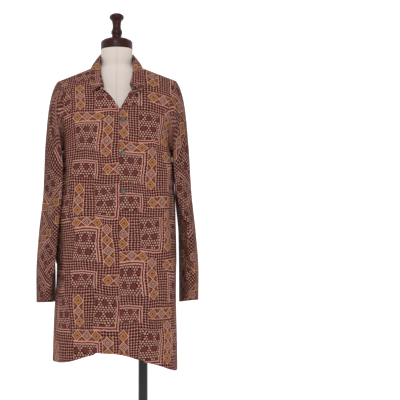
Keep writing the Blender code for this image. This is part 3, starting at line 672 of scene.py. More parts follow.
def cells(rows, cols):
    """Row and column of every cell of a grid."""
    return (grid.ravel() for grid in np.meshgrid(np.arange(rows), np.arange(cols), indexing="ij"))


def ring_faces(rows, cols):
    """Four-cornered faces between closed rings of points, stacked one after another."""
    i, j = cells(rows - 1, cols)
    k = (j + 1) % cols
    return np.stack((i * cols + j, i * cols + k, (i + 1) * cols + k, (i + 1) * cols + j), -1)


def circle(steps):
    """Angles round a full turn, without the last."""
    return np.linspace(0, 2 * math.pi, steps, endpoint=False)


def turned_rings(heights, radii, steps):
    """Rings of points about the upright axis: radius times cosine and sine, and the height."""
    angle = circle(steps)
    radii = np.maximum(radii, CLOSED_RADIUS)[:, None]
    up = np.asarray(heights)[:, None] * np.ones(steps)
    return np.stack((radii * np.cos(angle), radii * np.sin(angle), up), axis=-1)


def thin_sheet(name, outer, facing, uv, edge, materials, wrap=False):
    """Closed sheet: a grid of points, the same grid moved in by the cloth's wall, and its rims.

    uv has one more column than outer where the sheet wraps, so that the cloth's own
    coordinates don't jump back across the seam. edge is each point's way to its hem.
    """
    rows, cols = outer.shape[:2]
    count = rows * cols
    last = cols if wrap else cols - 1
    i, j = cells(rows - 1, last)
    steps = ((0, 0), (0, 1), (1, 1), (1, 0))
    quad = np.stack([np.stack((i + di, j + dj), -1) for di, dj in steps], 1)
    run = np.arange(last)
    rims = [np.stack((np.full(last, r), run, np.full(last, r), run + 1), -1) for r in (0, rows - 1)]
    if not wrap:
        fall = np.arange(rows - 1)
        rims += [np.stack((fall, np.full(rows - 1, c), fall + 1, np.full(rows - 1, c)), -1)
                 for c in (0, cols - 1)]
    rim = np.concatenate(rims)
    rim_quad = np.stack((rim[:, :2], rim[:, :2], rim[:, 2:], rim[:, 2:]), 1)
    corner = np.concatenate((quad, quad[:, ::-1], rim_quad))
    layer = np.concatenate((
        np.zeros(quad.shape[:2], int), np.ones(quad.shape[:2], int),
        np.tile((0, 1, 1, 0), (len(rim), 1))))
    index = layer * count + corner[..., 0] * cols + corner[..., 1] % cols
    inner = outer - facing * sizes().wall
    verts = np.concatenate((outer.reshape(-1, 3), inner.reshape(-1, 3)))
    obj = finish_mesh(name, verts, index.tolist(), materials)
    mesh = obj.data
    layer_uv = mesh.uv_layers.new(name="cloth")
    layer_uv.data.foreach_set("uv", uv[corner[..., 0], corner[..., 1]].astype(np.float32).ravel())
    hem = mesh.attributes.new("hem", "FLOAT", "POINT")
    hem.data.foreach_set("value", np.tile(edge.ravel(), 2).astype(np.float32))
    slots = np.zeros(len(index), np.int32)
    slots[len(quad):2 * len(quad)] = 1
    mesh.polygons.foreach_set("material_index", slots)
    turn_outwards(obj, SHARP_CLOTH)
    return obj


def lathe(name, profile, place, steps, material):
    """Solid turned about a vertical line from heights and radii; the ends close at a point."""
    heights, radii = np.transpose(profile)
    rings = turned_rings(heights, radii, steps) + np.array(place)
    return loft(name, rings, material, SHARP_TURNED)


def loft(name, rings, material, sharp):
    """Closed solid through a stack of rings, with one flat face at each end."""
    rows, cols = rings.shape[:2]
    ends = [list(range(cols)), [(rows - 1) * cols + c for c in range(cols)]]
    faces = ring_faces(rows, cols).tolist() + ends
    obj = finish_mesh(name, rings.reshape(-1, 3), faces, [material])
    turn_outwards(obj, sharp)
    return obj


def maths(operation, swapped=False):
    """Method that adds one Math node on a socket and what it is combined with."""
    def method(self, *others):
        values = (self, *others)
        return self.graph.add("Math", {"operation": operation}, values[::-1] if swapped else values)
    return method


class Value:
    """A shader socket with arithmetic: each operator adds one Math node."""

    def __init__(self, graph, socket):
        self.graph = graph
        self.socket = socket

    __add__ = maths("ADD")
    __radd__ = maths("ADD", swapped=True)
    __sub__ = maths("SUBTRACT")
    __rsub__ = maths("SUBTRACT", swapped=True)
    __mul__ = maths("MULTIPLY")
    __truediv__ = maths("DIVIDE")
    __mod__ = maths("FLOORED_MODULO")
    __gt__ = maths("GREATER_THAN")
    __lt__ = maths("LESS_THAN")
    __abs__ = maths("ABSOLUTE")
    least = maths("MINIMUM")
    most = maths("MAXIMUM")
    floor = maths("FLOOR")
    root = maths("SQRT")
    sine = maths("SINE")


class Graph:
    """Node tree of one material."""

    def __init__(self, material):
        self.material = material
        self.nodes = material.node_tree.nodes
        self.links = material.node_tree.links
        self.shader = self.nodes["Principled BSDF"]

    def add(self, kind, settings=None, values=(), output=0):
        """Adds a node, sets its settings, then fills its sockets with values or links."""
        node = self.nodes.new("ShaderNode" + kind)
        for key, value in (settings or {}).items():
            setattr(node, key, value)
        pairs = values.items() if isinstance(values, dict) else enumerate(values)
        for key, value in pairs:
            self.join(value, node.inputs[key])
        return Value(self, node.outputs[output])

    def join(self, value, socket):
        """Links a wrapped socket, or sets a plain number or tuple."""
        if isinstance(value, Value):
            self.links.new(value.socket, socket)
        else:
            socket.default_value = value

    def mix(self, share, first, second):
        """Colour between two, by a share."""
        node = self.nodes.new("ShaderNodeMix")
        node.data_type = "RGBA"
        self.join(share, node.inputs[0])
        self.join(first, node.inputs[6])
        self.join(second, node.inputs[7])
        return Value(self, node.outputs[2])

    def split(self, vector):
        """First two parts of a vector."""
        outputs = self.add("SeparateXYZ", {}, [vector]).socket.node.outputs
        return Value(self, outputs[0]), Value(self, outputs[1])

    def place(self):
        """Place on the object, in metres."""
        return self.add("TexCoord", {}, (), 3)

    def grain(self, vector, scale, detail=2.0):
        """Noise with a scale for each of the three ways."""
        return self.noise(self.add("Mapping", {}, {"Vector": vector, "Scale": scale}), 1.0, detail)

    def surface(self, colour, noise, least, spread):
        """Feeds the shader's colour, and its roughness: least, and spread times a noise."""
        self.join(colour, self.shader.inputs["Base Color"])
        self.join(least + noise * spread, self.shader.inputs["Roughness"])

    def noise(self, vector, scale, detail=2.0):
        """Soft noise between 0 and 1."""
        return self.add("TexNoise", {"noise_dimensions": "3D"},
                        {"Vector": vector, "Scale": scale, "Detail": detail})

    def bump(self, height, distance):
        """Feeds a height to the shader's normal."""
        bump = self.add("Bump", {}, {"Strength": 1.0, "Distance": distance, "Height": height})
        self.links.new(bump.socket, self.shader.inputs["Normal"])


def shade(colour, share):
    """Colour with each part brought down to a share."""
    return (*(part * share for part in colour[:3]), 1.0)


def srgb(code):
    """Linear colour with alpha from a six-digit sRGB code."""
    parts = [int(code[k:k + 2], 16) / 255 for k in (0, 2, 4)]
    linear = [p / 12.92 if p <= 0.04045 else ((p + 0.055) / 1.055) ** 2.4 for p in parts]
    return (*linear, 1.0)


# Colours of the shell and the paint, each two mixed by a noise
SHELL = ("1f211e", "55564c")
PAINT = ("131314", "2a2a2d")
# Colours of the print, and of the cloth's wrong side
TONES = {
    "dark": "24080a",
    "mid": "521a1c",
    "red": "5e2525",
    "plum": "3b1717",
    "light": "ba8878",
    "ochre": "98622f",
    "rust": "6c2f1c",
    "black": "120a0b",
    "reverse": "a08682",
}
# Module of the print in metres, and its repeat in modules, which the values below are in too
MODULE = 0.0074
REPEAT = 42
# Ground: where a line starts and how much of it prints, squares of the radii of the dot at
# each crossing and of the disc in each cell. A BLOT is how much the noise adds to the value
# above it
LINE_FROM = 0.42
LINE_PRINTS = 0.30
LINE_BLOT = 0.5
KNOT_SQUARE = 0.052
KNOT_BLOT = 0.11
CELL_DISC_SQUARE = 0.115
# Fields: squares of the radii of a dot's dark edge and light heart, then the large discs
ROW_RISE = math.sqrt(3)
DOT_EDGE_SQUARE = 0.16
DOT_SQUARE = 0.095
DOT_BLOT = 0.22
DISC_PITCH = 3.6
DISC_RISE = 4.5
DISC_RIM = 1.20
DISC_HEART = 0.98
BORDER = 1.2
BORDER_EDGE = 0.33
# Chains: side of a cell, then how far from a lozenge's middle each part starts
CHAIN_CELL = 4.0
CHAIN_EDGE = 1.84
SOLID_HEART = 0.50
RINGED_HEART = ((0.34, "light"), (0.70, "black"), (1.12, "light"))
LOZENGE_RINGS = ((1.40, "black"), (1.72, "light"), (2.20, "black"), (2.55, "rust"))
TRIANGLE_FROM = 3.2
# Fields of dots with discs. Columns: left, foot, width, height, border's side across
# (-1 left, 1 right), border's side up (-1 foot, 1 top)
FIELDS = (
    (1, 3, 10, 12, 1, 1),
    (21, 0, 9, 11, -1, 1),
    (33, 18, 8, 13, -1, -1),
    (9, 19, 9, 13, 1, -1),
    (23, 22, 8, 9, -1, 1),
    (0, 34, 10, 7, 1, 1),
    (27, 33, 12, 8, -1, -1),
)
# Chains of lozenges. Columns: left, foot, cells of four modules, 1 where the chain stands
CHAINS = (
    (12, 1, 4, 1),
    (31, 2, 3, 1),
    (19, 12, 3, 0),
    (0, 15, 3, 0),
    (19, 19, 4, 1),
    (1, 20, 3, 1),
    (12, 36, 3, 0),
)


def centred(value, pitch=1.0):
    """Way of a value from the middle of its cell."""
    return (value % pitch) - pitch / 2


def square_way(across_way, along_way):
    """Square of the distance that two ways at right angles make."""
    return across_way * across_way + along_way * along_way


def within(u, v, left, foot, wide, high):
    """1 inside an oblong and 0 outside it."""
    return (u > left) * (u < left + wide) * (v > foot) * (v < foot + high)


def total(values):
    """Sum of a list of shader values."""
    return sum(values[1:], values[0])


def print_colours(graph, u, v, tones, blot):
    """Colour of the patchwork print at cloth coordinates in modules, blotted by a noise.

    The ground is a grid of lines with dots at its crossings and a dark disc in each cell.
    Fields of light dots hold larger discs and have a barred border on two sides. Chains
    are rows of lozenges, by turns solid and ringed, with triangles between them.
    """
    u = u % REPEAT
    v = v % REPEAT
    cell_u = abs(centred(u))
    cell_v = abs(centred(v))
    line = cell_u.most(cell_v) > LINE_FROM
    knot = square_way(0.5 - cell_u, 0.5 - cell_v) < KNOT_SQUARE + blot * KNOT_BLOT
    colour = graph.mix(square_way(cell_u, cell_v) < CELL_DISC_SQUARE, tones["mid"], tones["dark"])
    colour = graph.mix(line * (LINE_PRINTS + blot * LINE_BLOT), colour, tones["light"])
    colour = graph.mix(knot, colour, tones["light"])

    tall = v / ROW_RISE
    dot = square_way(centred(u), centred(tall) * ROW_RISE).least(
        square_way(centred(u + 0.5), centred(tall + 0.5) * ROW_RISE))
    net = graph.mix(dot < DOT_EDGE_SQUARE, tones["black"], tones["mid"])
    net = graph.mix(dot < DOT_SQUARE + blot * DOT_BLOT, net, tones["light"])
    row = (v / DISC_RISE).floor()
    disc_u = centred(u / DISC_PITCH + row * 0.5) * DISC_PITCH
    disc = square_way(disc_u, centred(v, DISC_RISE)).root()
    net = graph.mix(disc < DISC_RIM, net, tones["black"])
    net = graph.mix(disc < DISC_HEART, net, tones["red"])

    fields = []
    ways = []
    for left, foot, wide, high, side, up in FIELDS:
        fields.append(within(u, v, left, foot, wide, high))
        side_way = (left + wide) - u if side > 0 else u - left
        up_way = (foot + high) - v if up > 0 else v - foot
        ways.append(side_way.least(up_way) * fields[-1])
    field = total(fields)
    depth = total(ways)
    colour = graph.mix(field, colour, net)
    colour = graph.mix(field * (depth < BORDER), colour, tones["light"])
    bar = (depth < BORDER - BORDER_EDGE) * (depth > BORDER_EDGE)
    colour = graph.mix(field * bar, colour, tones["mid"])

    chains = []
    offs = []
    runs = []
    for left, foot, count, stands in CHAINS:
        wide, high = (1, count) if stands else (count, 1)
        chains.append(within(u, v, left, foot, CHAIN_CELL * wide, CHAIN_CELL * high))
        from_left = u - left
        from_foot = v - foot
        off, run = (from_left, from_foot) if stands else (from_foot, from_left)
        offs.append((off - CHAIN_CELL / 2) * chains[-1])
        runs.append(run * chains[-1])
    off = abs(total(offs))
    run = total(runs)
    odd = (run % (2 * CHAIN_CELL)) > CHAIN_CELL
    lozenge = off + abs(centred(run, CHAIN_CELL))
    solid = graph.mix(lozenge < SOLID_HEART, tones["ochre"], tones["red"])
    ringed = tones["plum"]
    for start, tone in RINGED_HEART:
        ringed = graph.mix(lozenge > start, ringed, tones[tone])
    motif = graph.mix(odd, solid, ringed)
    for start, tone in LOZENGE_RINGS:
        motif = graph.mix(lozenge > start, motif, tones[tone])
    motif = graph.mix((lozenge > TRIANGLE_FROM) * odd, motif, tones["ochre"])
    motif = graph.mix(off > CHAIN_EDGE, motif, tones["light"])
    return graph.mix(total(chains), colour, motif)


# Wobble of the print over the cloth. Columns: noise scale across, up, its detail, reach in modules
WOBBLES = (
    (90.0, 80.0, 2.0, 0.5),
    (12.0, 12.0, 0.0, 2.6),
)
UP_NOISE_FROM = (0.7, 0.3, 0.0)
BLOT_SCALE = 240.0
FADE_SCALE = 14.0
FADE_SHARE = 0.06
REVERSE_SHARE = 0.62
# Crepe and weave, in noise scale and radians a metre, and their heights
CREPE_SCALE = 2600.0
CREPE_HEIGHT = 0.6
WEAVE_TURN = 9000.0
WEAVE_HEIGHT = 0.2
# Hem stitches: half width, radians a metre, sine below which the thread is hidden, depth
STITCH_HALF = 0.0006
STITCH_TURN = 2400.0
STITCH_HIDDEN = -0.4
STITCH_DEPTH = 1.4
CLOTH_RELIEF = 0.0003
CLOTH_ROUGHNESS = 0.78
CREPE_ROUGHNESS = 0.14


def cloth_material(name, wrong, deep):
    """Printed crepe, mixed towards black by deep, a share of painted shade. The wrong side is paler,
    but for the turned hem.
    """
    graph = Graph(principled(name, roughness=CLOTH_ROUGHNESS, gloss=0.10))
    tones = {key: srgb(code) for key, code in TONES.items()}
    uv = graph.add("UVMap", {"uv_map": "cloth"})
    across_cloth, up_cloth = graph.split(uv)
    turned = graph.add("Mapping", {}, {"Vector": uv, "Location": UP_NOISE_FROM})
    u = across_cloth / sizes().module
    v = up_cloth / sizes().module
    for scale_u, scale_v, detail, reach in WOBBLES:
        u = u + (graph.noise(uv, scale_u, detail) - 0.5) * reach
        v = v + (graph.noise(turned, scale_v, detail) - 0.5) * reach
    blot = graph.noise(uv, BLOT_SCALE, detail=1.0) - 0.5
    colour = print_colours(graph, u, v, tones, blot)
    colour = graph.mix(graph.noise(uv, FADE_SCALE, detail=3.0) * FADE_SHARE, colour, tones["light"])
    # Painted shade: deep mixes the whole print towards black, which darkens the sleeves' cloth
    colour = graph.mix(deep, colour, tones["black"])
    hem = graph.add("Attribute", {"attribute_name": "hem"}, (), 2)
    if wrong:
        colour = graph.mix((hem > sizes().hem) * REVERSE_SHARE, colour, tones["reverse"])
    crepe = graph.noise(uv, CREPE_SCALE, detail=1.0)
    weave = (across_cloth * WEAVE_TURN).sine() * (up_cloth * WEAVE_TURN).sine()
    thread = ((across_cloth + up_cloth) * STITCH_TURN).sine() > STITCH_HIDDEN
    stitch = (abs(hem - sizes().hem) < STITCH_HALF) * thread
    height = crepe * CREPE_HEIGHT + weave * WEAVE_HEIGHT - stitch * STITCH_DEPTH
    graph.bump(height, CLOTH_RELIEF)
    graph.surface(colour, crepe, CLOTH_ROUGHNESS, CREPE_ROUGHNESS)
    return graph.material


def front_columns(side):
    """Places at the shoulder from the lap edge to the armhole, and the neckline's drop."""
    start = LAP_EDGE_X if side > 0 else -UNDERLAP_X
    sweep = np.linspace(0, math.pi / 2, NECK_STEPS + 1)
    steps = LAP_STEPS if side > 0 else UNDERLAP_STEPS
    open_edge = np.linspace(start, COLLAR_END_X, steps + 1)[:-1]
    neck = COLLAR_END_X + (NECK_POINT_X - COLLAR_END_X) * np.sin(sweep)
    inner = place_of(np.concatenate((open_edge, neck)) / TIP_X, 0)
    outer = inner[-1] + (1 - inner[-1]) * np.linspace(0, 1, SHOULDER_STEPS + 1)[1:]
    bottom = side * LAP_EDGE_X
    run = np.clip((open_edge - bottom) / (COLLAR_END_X - bottom), 0, 1)
    fall = V_BOTTOM_DROP + (COLLAR_END_DROP - V_BOTTOM_DROP) * run
    drop = np.concatenate((fall, COLLAR_END_DROP * np.cos(sweep), np.zeros(len(outer))))
    return np.concatenate((inner, outer)), drop


def levels_below(drop):
    """Levels of a panel's grid: from each column's top to the underarm, then to the hem."""
    top = np.maximum(drop, SEAM_GAP / SHOULDER_FALL)
    share = np.linspace(0, 1, UPPER_ROWS)[:, None]
    lower = 1 + np.linspace(0, 1, LOWER_ROWS + 1)[1:, None] * np.ones_like(drop)
    return np.concatenate((top + (1 - top) * share, lower))


def front_panel(side):
    """Grid of one front with its places and levels, columns from the lap outwards."""
    place, drop = front_columns(side)
    level = levels_below(drop)
    edge_x = LAP_EDGE_X if side > 0 else -UNDERLAP_X
    edge_x -= side * BODY_SHIFT_X
    wanted = place_of(edge_x / half_width(-1, level), level)
    fraction = (place - place[0]) / (1 - place[0])
    moved = side * (place + (wanted - place[0]) * (1 - ramp(0, LAP_SHIFT_SHARE, fraction)))
    return body(-1, moved, level), moved, level


def push_creases(points, facing, face):
    """Moves a grid along its normals by the fine creases."""
    return points + facing * creases(face, points[..., 0], points[..., 2])[..., None]


def push_sleeve(points, facing, angle, arm):
    """Moves a sleeve's grid along its normals by its creases.

    Each is a bell across its line, which winds from one angle to another as it falls,
    and it swells and dies along its height.
    """
    total = np.zeros(points.shape[:2])
    for side, angle_0, z_0, angle_1, z_1, half, depth in SLEEVE_CREASES:
        if side != arm:
            continue
        along = np.clip((z_0 - points[..., 2]) / (z_0 - z_1), 0, 1)
        off = angle - angle_0 - (angle_1 - angle_0) * along
        total += depth * swell(along) * np.exp(-((off / half) ** 2))
    return points + facing * total[..., None]


def fold_curve(level):
    """Offsets of the fold's columns along and out of the cloth, and the cloth's own run.

    The cloth's direction turns through an angle, holds it along the hidden strand and
    turns back, and the offsets are the running sums of its cosine and sine, centred.
    """
    knots = np.array(STRAND)
    fine = np.interp(np.arange((len(knots) - 1) * STRAND_FINE) / STRAND_FINE + 0.5 / STRAND_FINE,
                     np.arange(len(knots)), knots)
    angle = np.radians(spline(FOLD_LINE, 2, level)) * (ramp(0, 1, fine) - ramp(2, 3, fine))
    strand = np.where((fine > 1) & (fine < 2), spline(FOLD_LINE, 3, level), FOLD_TURN)
    length = strand * np.repeat(np.diff(knots), STRAND_FINE) / STRAND_FINE
    offsets = []
    for part in (np.cos(angle), np.sin(angle), np.ones_like(angle)):
        steps = (part * length).reshape(len(level), -1, STRAND_FINE).sum(axis=-1)
        total = np.concatenate((np.zeros((len(level), 1)), np.cumsum(steps, axis=1)), axis=1)
        offsets.append(total - total[:, -1:] / 2)
    return offsets


def back_panel():
    """Grid of the back, columns from the wearer's right to left, folded over itself once."""
    neck = place_of(NECK_POINT_X / TIP_X, 0)
    neck_angle = np.linspace(-math.pi / 2, math.pi / 2, 2 * NECK_STEPS + 1)
    right = -1 + (1 - neck) * np.linspace(0, 1, SHOULDER_STEPS + 1)[:-1]
    middle = np.sign(neck_angle) * place_of(NECK_POINT_X / TIP_X * np.abs(np.sin(neck_angle)), 0)
    nominal = np.concatenate((right, middle))
    drop = np.zeros(len(nominal) + len(STRAND) + SHOULDER_STEPS)
    drop[len(right):len(nominal)] = BACK_NECK_DROP * np.cos(neck_angle)
    level = levels_below(drop)
    half = half_width(1, level)
    fold = slice(len(nominal), len(nominal) + len(STRAND))
    along, out, run = fold_curve(level[:, fold][:, :1])
    x = spline(FOLD_LINE, 1, level[:, fold]) - BODY_SHIFT_X + along
    folded = place_of(x / half[:, fold], level[:, fold])
    first, last = folded[:, :1], folded[:, -1:]
    start = folded[:1, :1]
    reach = (nominal + neck) / (start + neck)
    before = np.where(nominal < -neck, nominal, -neck + reach * (first + neck))
    after = last + (1 - last) * np.linspace(0, 1, SHOULDER_STEPS + 1)[1:]
    a = np.concatenate((before, folded, after), axis=1)
    points = body(1, a, level)
    depth = np.zeros(a.shape)
    depth[:, fold] = out
    sides = ((slice(0, fold.start), fold.start), (slice(fold.stop, None), fold.stop - 1))
    for columns, source in sides:
        away = (a[:, columns] - a[:, source:source + 1]) * half[:, columns] * math.pi / 2
        depth[:, columns] = depth[:, source:source + 1] * np.exp(-((away / FOLD_FADE) ** 2))
    points[..., 1] += depth
    width, length = cloth_map(1)
    u = lookup(width, a, level)
    u[:, fold] = u[:, fold.start:fold.start + 1] + run - run[:, :1]
    edge = slice(fold.stop - 1, fold.stop)
    u[:, fold.stop:] += u[:, edge] - lookup(width, last, level[:, edge])
    return points, np.stack((u, lookup(length, a, level)), -1), level


def hem_way(level, face, a):
    """Way to the hem along the cloth from each level."""
    hem = FRONT_HEM if face < 0 else BACK_HEM
    return np.clip(2 - level, 0, 2) * (UNDERARM_Z - spline(hem, 1, a))


def sleeve(side):
    """Grid of a sleeve: rows from the armhole to the hem, columns round it from the top.

    The cap runs from the armhole's edge to the first hanging ring on cubics that start
    outwards, and each hanging ring is a flattened oval set by the table.
    """
    table = SLEEVE_LEFT if side > 0 else SLEEVE_RIGHT
    angle = circle(SLEEVE_RING)
    front = angle <= math.pi
    v = np.where(front, angle / math.pi, 2 - angle / math.pi)
    edge = np.ones(SLEEVE_RING) * side
    arm = np.where(front[:, None], body(-1, edge, v), body(1, edge, v))
    height = table[0][0] + (table[-1][0] - table[0][0]) * np.linspace(0, 1, HANG_ROWS)[:, None]
    outer, inner, fore, aft, tip, lift, wrap = (spline(table, c, height) for c in range(1, 8))
    cosine = np.cos(angle) - SLEEVE_SQUARE * np.cos(3 * angle)
    sine = np.sin(angle) + SLEEVE_SQUARE * np.sin(3 * angle)
    x = (outer + inner) / 2 + (outer - inner) / 2 * cosine / (1 - SLEEVE_SQUARE)
    y = (fore + aft) / 2 + (fore - aft) / 2 * sine / (1 - SLEEVE_SQUARE)
    z = height + tip * np.sin(angle) - lift * np.cos(angle)
    x = x - wrap * np.clip((WRAP_FROM_Y - y) / (WRAP_FROM_Y - fore), 0, 1) ** 2
    hang = np.stack((side * x, y, z), axis=-1)
    top = (1 + np.cos(angle)) / 2
    leave = np.stack((side * (CAP_OUT + CAP_OUT_TOP * top), -CAP_FORWARD * np.sin(angle),
                      -CAP_FALL - CAP_FALL_TOP * top), axis=-1)
    drop = (arm[:, 2] - hang[0, :, 2])[:, None]
    step = hang[ARRIVE_ROW] - hang[0]
    arrive = step / -step[:, 2:] * drop * CAP_ARRIVE
    s = np.linspace(0, 1, CAP_ROWS + 1)[:-1, None, None]
    cap = hermite(arm, leave, hang[0], arrive, s)
    cap[0] += unit(cap[1] - cap[0]) * SEAM_GAP / 2 + (side * SEAM_GAP / 2, 0, 0)
    return np.concatenate((cap, hang)), angle


class BLOUSE_PG_sizes(bpy.types.PropertyGroup):
    """Sizes of the blouse that a user may change."""

    wall: bpy.props.FloatProperty(
        name="Cloth", description="Thickness of the cloth", default=0.0009, unit="LENGTH")
    module: bpy.props.FloatProperty(
        name="Print module", description="Pitch of the print's dots", default=MODULE, unit="LENGTH")
    hem: bpy.props.FloatProperty(
        name="Hem", description="Width of the turned hem", default=0.006, unit="LENGTH")
    button: bpy.props.FloatProperty(
        name="Button radius", description="Radius of a button", default=0.0074, unit="LENGTH")
    linen: bpy.props.FloatVectorProperty(
        name="Linen", description="Colour of the dress form", subtype="COLOR", size=4,
        default=srgb("e0d4cd"))
    wood: bpy.props.FloatVectorProperty(
        name="Wood", description="Colour of the cap and finial", subtype="COLOR", size=4,
        default=srgb("3c1211"))


def sizes():
    """The user's sizes."""
    return bpy.context.scene.blouse_sizes


def cloth_materials(kind="printed_crepe", deep=0.0):
    """Right and wrong side of one kind of the cloth, made once."""
    names = ((kind, False), (kind + "_wrong_side", True))
    return [bpy.data.materials.get(name) or cloth_material(name, wrong, deep) for name, wrong in names]


def dress(obj, node, slot, **cloth):
    """Seats a finished piece in the frame: its body and the node it stands for, whose solid it hides.
    slot, the name of its finish, is not used.
    """
    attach(obj, "root")
    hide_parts(node)


class BLOUSE_OT_fronts(bpy.types.Operator):
    """Both fronts; the wearer's left one laps over the right"""

    bl_idname = "blouse.fronts"
    bl_label = "Fronts"

    def execute(self, context):
        width, length = cloth_map(-1)
        for name, side in (("front_left", 1), ("front_right", -1)):
            points, a, level = front_panel(side)
            facing = -side * normals(points)
            if side < 0:
                depth = UNDERLAP_DEPTH * ramp(UNDERLAP_START_X, UNDERLAP_FULL_X, points[..., 0])
                points = points - facing * depth[..., None]
            points = push_creases(points, facing, -1)
            facing = facing_like(points, facing)
            uv = np.stack((lookup(width, a, level), lookup(length, a, level)), -1)
            uv = uv + CUT_FROM[name]
            edge = hem_way(level, -1, a)
            obj = thin_sheet("blouse_" + name, points, facing, uv, edge, cloth_materials())
            dress(obj, name, "cloth", flat=(0.265, 0.920), area=0.207, held="hung",
                  rests_on=["form_body"])
        return {"FINISHED"}


class BLOUSE_OT_back(bpy.types.Operator):
    """The back in one piece, with its deep drape fold"""

    bl_idname = "blouse.back"
    bl_label = "Back"

    def execute(self, context):
        points, uv, level = back_panel()
        facing = normals(points)
        points = push_creases(points, facing, 1)
        facing = facing_like(points, facing)
        edge = hem_way(level, 1, np.clip(uv[..., 0] / BACK_HALF, -1, 1))
        uv = uv + CUT_FROM["back"]
        obj = thin_sheet("blouse_back", points, facing, uv, edge, cloth_materials())
        dress(obj, "back", "cloth", flat=(0.560, 0.900), area=0.440, held="hung",
              rests_on=["form_body"])
        return {"FINISHED"}


class BLOUSE_OT_sleeves(bpy.types.Operator):
    """Both long sleeves, tubes open at the armhole and the hem"""

    bl_idname = "blouse.sleeves"
    bl_label = "Sleeves"

    def execute(self, context):
        for name, side in (("sleeve_left", 1), ("sleeve_right", -1)):
            points, angle = sleeve(side)
            facing = normals(points, wrap=True)
            middle = points.mean(axis=1, keepdims=True)
            if ((points - middle) * facing)[-3:].sum() < 0:
                facing = -facing
            points = push_sleeve(points, facing, angle, side)
            facing = facing_like(points, facing, wrap=True)
            closed = np.concatenate((points, points[:, :1]), axis=1)
            around = lengths(closed, 1)
            down = lengths(closed, 0).mean(axis=1, keepdims=True) * np.ones(around.shape)
            tilt = SLEEVE_GRAIN * side
            uv = np.stack((around * math.cos(tilt) - down * math.sin(tilt),
                           around * math.sin(tilt) + down * math.cos(tilt)), -1)
            uv = uv + CUT_FROM[name]
            edge = (down[-1:] - down)[:, :-1]
            # The sleeves' cloth carries painted shade: its print is mixed towards black
            obj = thin_sheet("blouse_" + name, points, facing, uv, edge,
                             cloth_materials("shaded_sleeve_crepe", SLEEVE_PAINTED_SHADE), wrap=True)
            dress(obj, name, "cloth", flat=(0.370, 0.660), area=0.190, held="hung",
                  rests_on=["blouse_front_left" if side > 0 else "blouse_front_right"])
        return {"FINISHED"}


class BLOUSE_OT_collar(bpy.types.Operator):
    """The collar: a stand up to the roll line and a leaf over and down to its points"""

    bl_idname = "blouse.collar"
    bl_label = "Collar"

    def execute(self, context):
        half = np.linspace(0, 1, 2 * NECK_STEPS + 1)
        place = np.concatenate((-half[:0:-1], half))
        size = np.abs(place)
        sign = np.where(place < 0, -1.0, 1.0)
        right = front_panel(-1)[0][0, UNDERLAP_STEPS:UNDERLAP_STEPS + NECK_STEPS + 1]
        left = front_panel(1)[0][0, LAP_STEPS:LAP_STEPS + NECK_STEPS + 1][::-1]
        back = back_panel()[0][0, SHOULDER_STEPS:SHOULDER_STEPS + 2 * NECK_STEPS + 1]
        seam = np.concatenate((right[:-1], (right[-1:] + back[:1]) / 2, back[1:-1],
                               (left[:1] + back[-1:]) / 2, left[1:]))
        roll_x, roll_y, roll_z, edge_x, level, lift = (spline(COLLAR, c, size) for c in range(1, 7))
        roll = np.stack((sign * roll_x, roll_y, roll_z), axis=-1)
        rim = on_body(sign * edge_x, level, lift)
        flat = np.gradient(roll, axis=0) * (1, 1, 0)
        out = unit(np.cross(flat, (0, 0, 1.0)))
        if out[2 * NECK_STEPS, 1] < 0:
            out = -out
        top = roll - np.array((0, 0, STAND_DROP))
        q = np.linspace(0, 1, STAND_ROWS)[:, None, None]
        start = STAND_LIFT / np.linalg.norm(top - seam, axis=-1)[:, None]
        stand = seam + (top - seam) * (start + (1 - start) * q)
        facing = out * np.ones_like(stand)
        uv = np.stack((lengths(stand, 1), lengths(stand, 0)), -1)
        obj = thin_sheet("blouse_collar_stand", stand, facing, uv, np.ones(uv.shape[:2]),
                         cloth_materials()[:1] * 2)
        dress(obj, "collar_stand", "cloth", flat=(0.400, 0.060), area=0.0170, held="folded",
              rests_on=["blouse_back"])
        q = np.linspace(0, 1, LEAF_ROWS)[:, None, None]
        near = rim + (roll - rim) * LEAF_LIE + out * LEAF_TURN
        leaf = bezier(roll, roll + out * LEAF_TURN, near, rim, q)
        facing = normals(leaf)
        if (facing[LEAF_ROWS // 2] * out).sum() < 0:
            facing = -facing
        run = lengths(leaf, 1)
        uv = np.stack((run - run[:, 2 * NECK_STEPS, None], lengths(leaf, 0)), -1)
        uv = uv + CUT_FROM["collar_leaf"]
        edge = lengths(leaf, 0)
        edge = edge[-1:] - edge
        ends = np.minimum(run, run[:, -1:] - run)
        obj = thin_sheet("blouse_collar_leaf", leaf, facing, uv, np.minimum(edge, ends),
                         cloth_materials()[:1] * 2)
        dress(obj, "collar_leaf", "cloth", flat=(0.470, 0.075), area=0.0270, held="folded",
              rests_on=["blouse_collar_stand"])
        return {"FINISHED"}


class BLOUSE_OT_buttons(bpy.types.Operator):
    """Dark shell buttons with a rounded rim and a dished middle"""

    bl_idname = "blouse.buttons"
    bl_label = "Buttons"

    def execute(self, context):
        graph = Graph(principled("dark_shell", roughness=0.3, gloss=0.5))
        swirl = graph.noise(graph.place(), scale=260.0, detail=4.0)
        graph.surface(graph.mix(swirl, *map(srgb, SHELL)), swirl, least=0.2, spread=0.2)
        levels = np.linspace(*BUTTON_LEVELS, BUTTON_SEARCH)
        for number, (x, z) in enumerate(BUTTONS, start=1):
            places = place_of((x - BODY_SHIFT_X) / half_width(-1, levels), levels)
            spot = np.argmin(np.abs(body(-1, places, levels)[:, 2] - z))
            here, side, axis = probe(-1, places[spot], levels[spot])
            up = np.cross(axis, side)
            angle = circle(BUTTON_RING)
            ring = (np.cos(angle)[:, None] * side + np.sin(angle)[:, None] * up) * sizes().button
            rings = [here + axis * rise + ring * share for rise, share in BUTTON_PROFILE]
            obj = loft(f"blouse_button_{number}", np.array(rings), graph.material, SHARP_BUTTON)
            dress(obj, f"button_{number}", "shell")
        return {"FINISHED"}


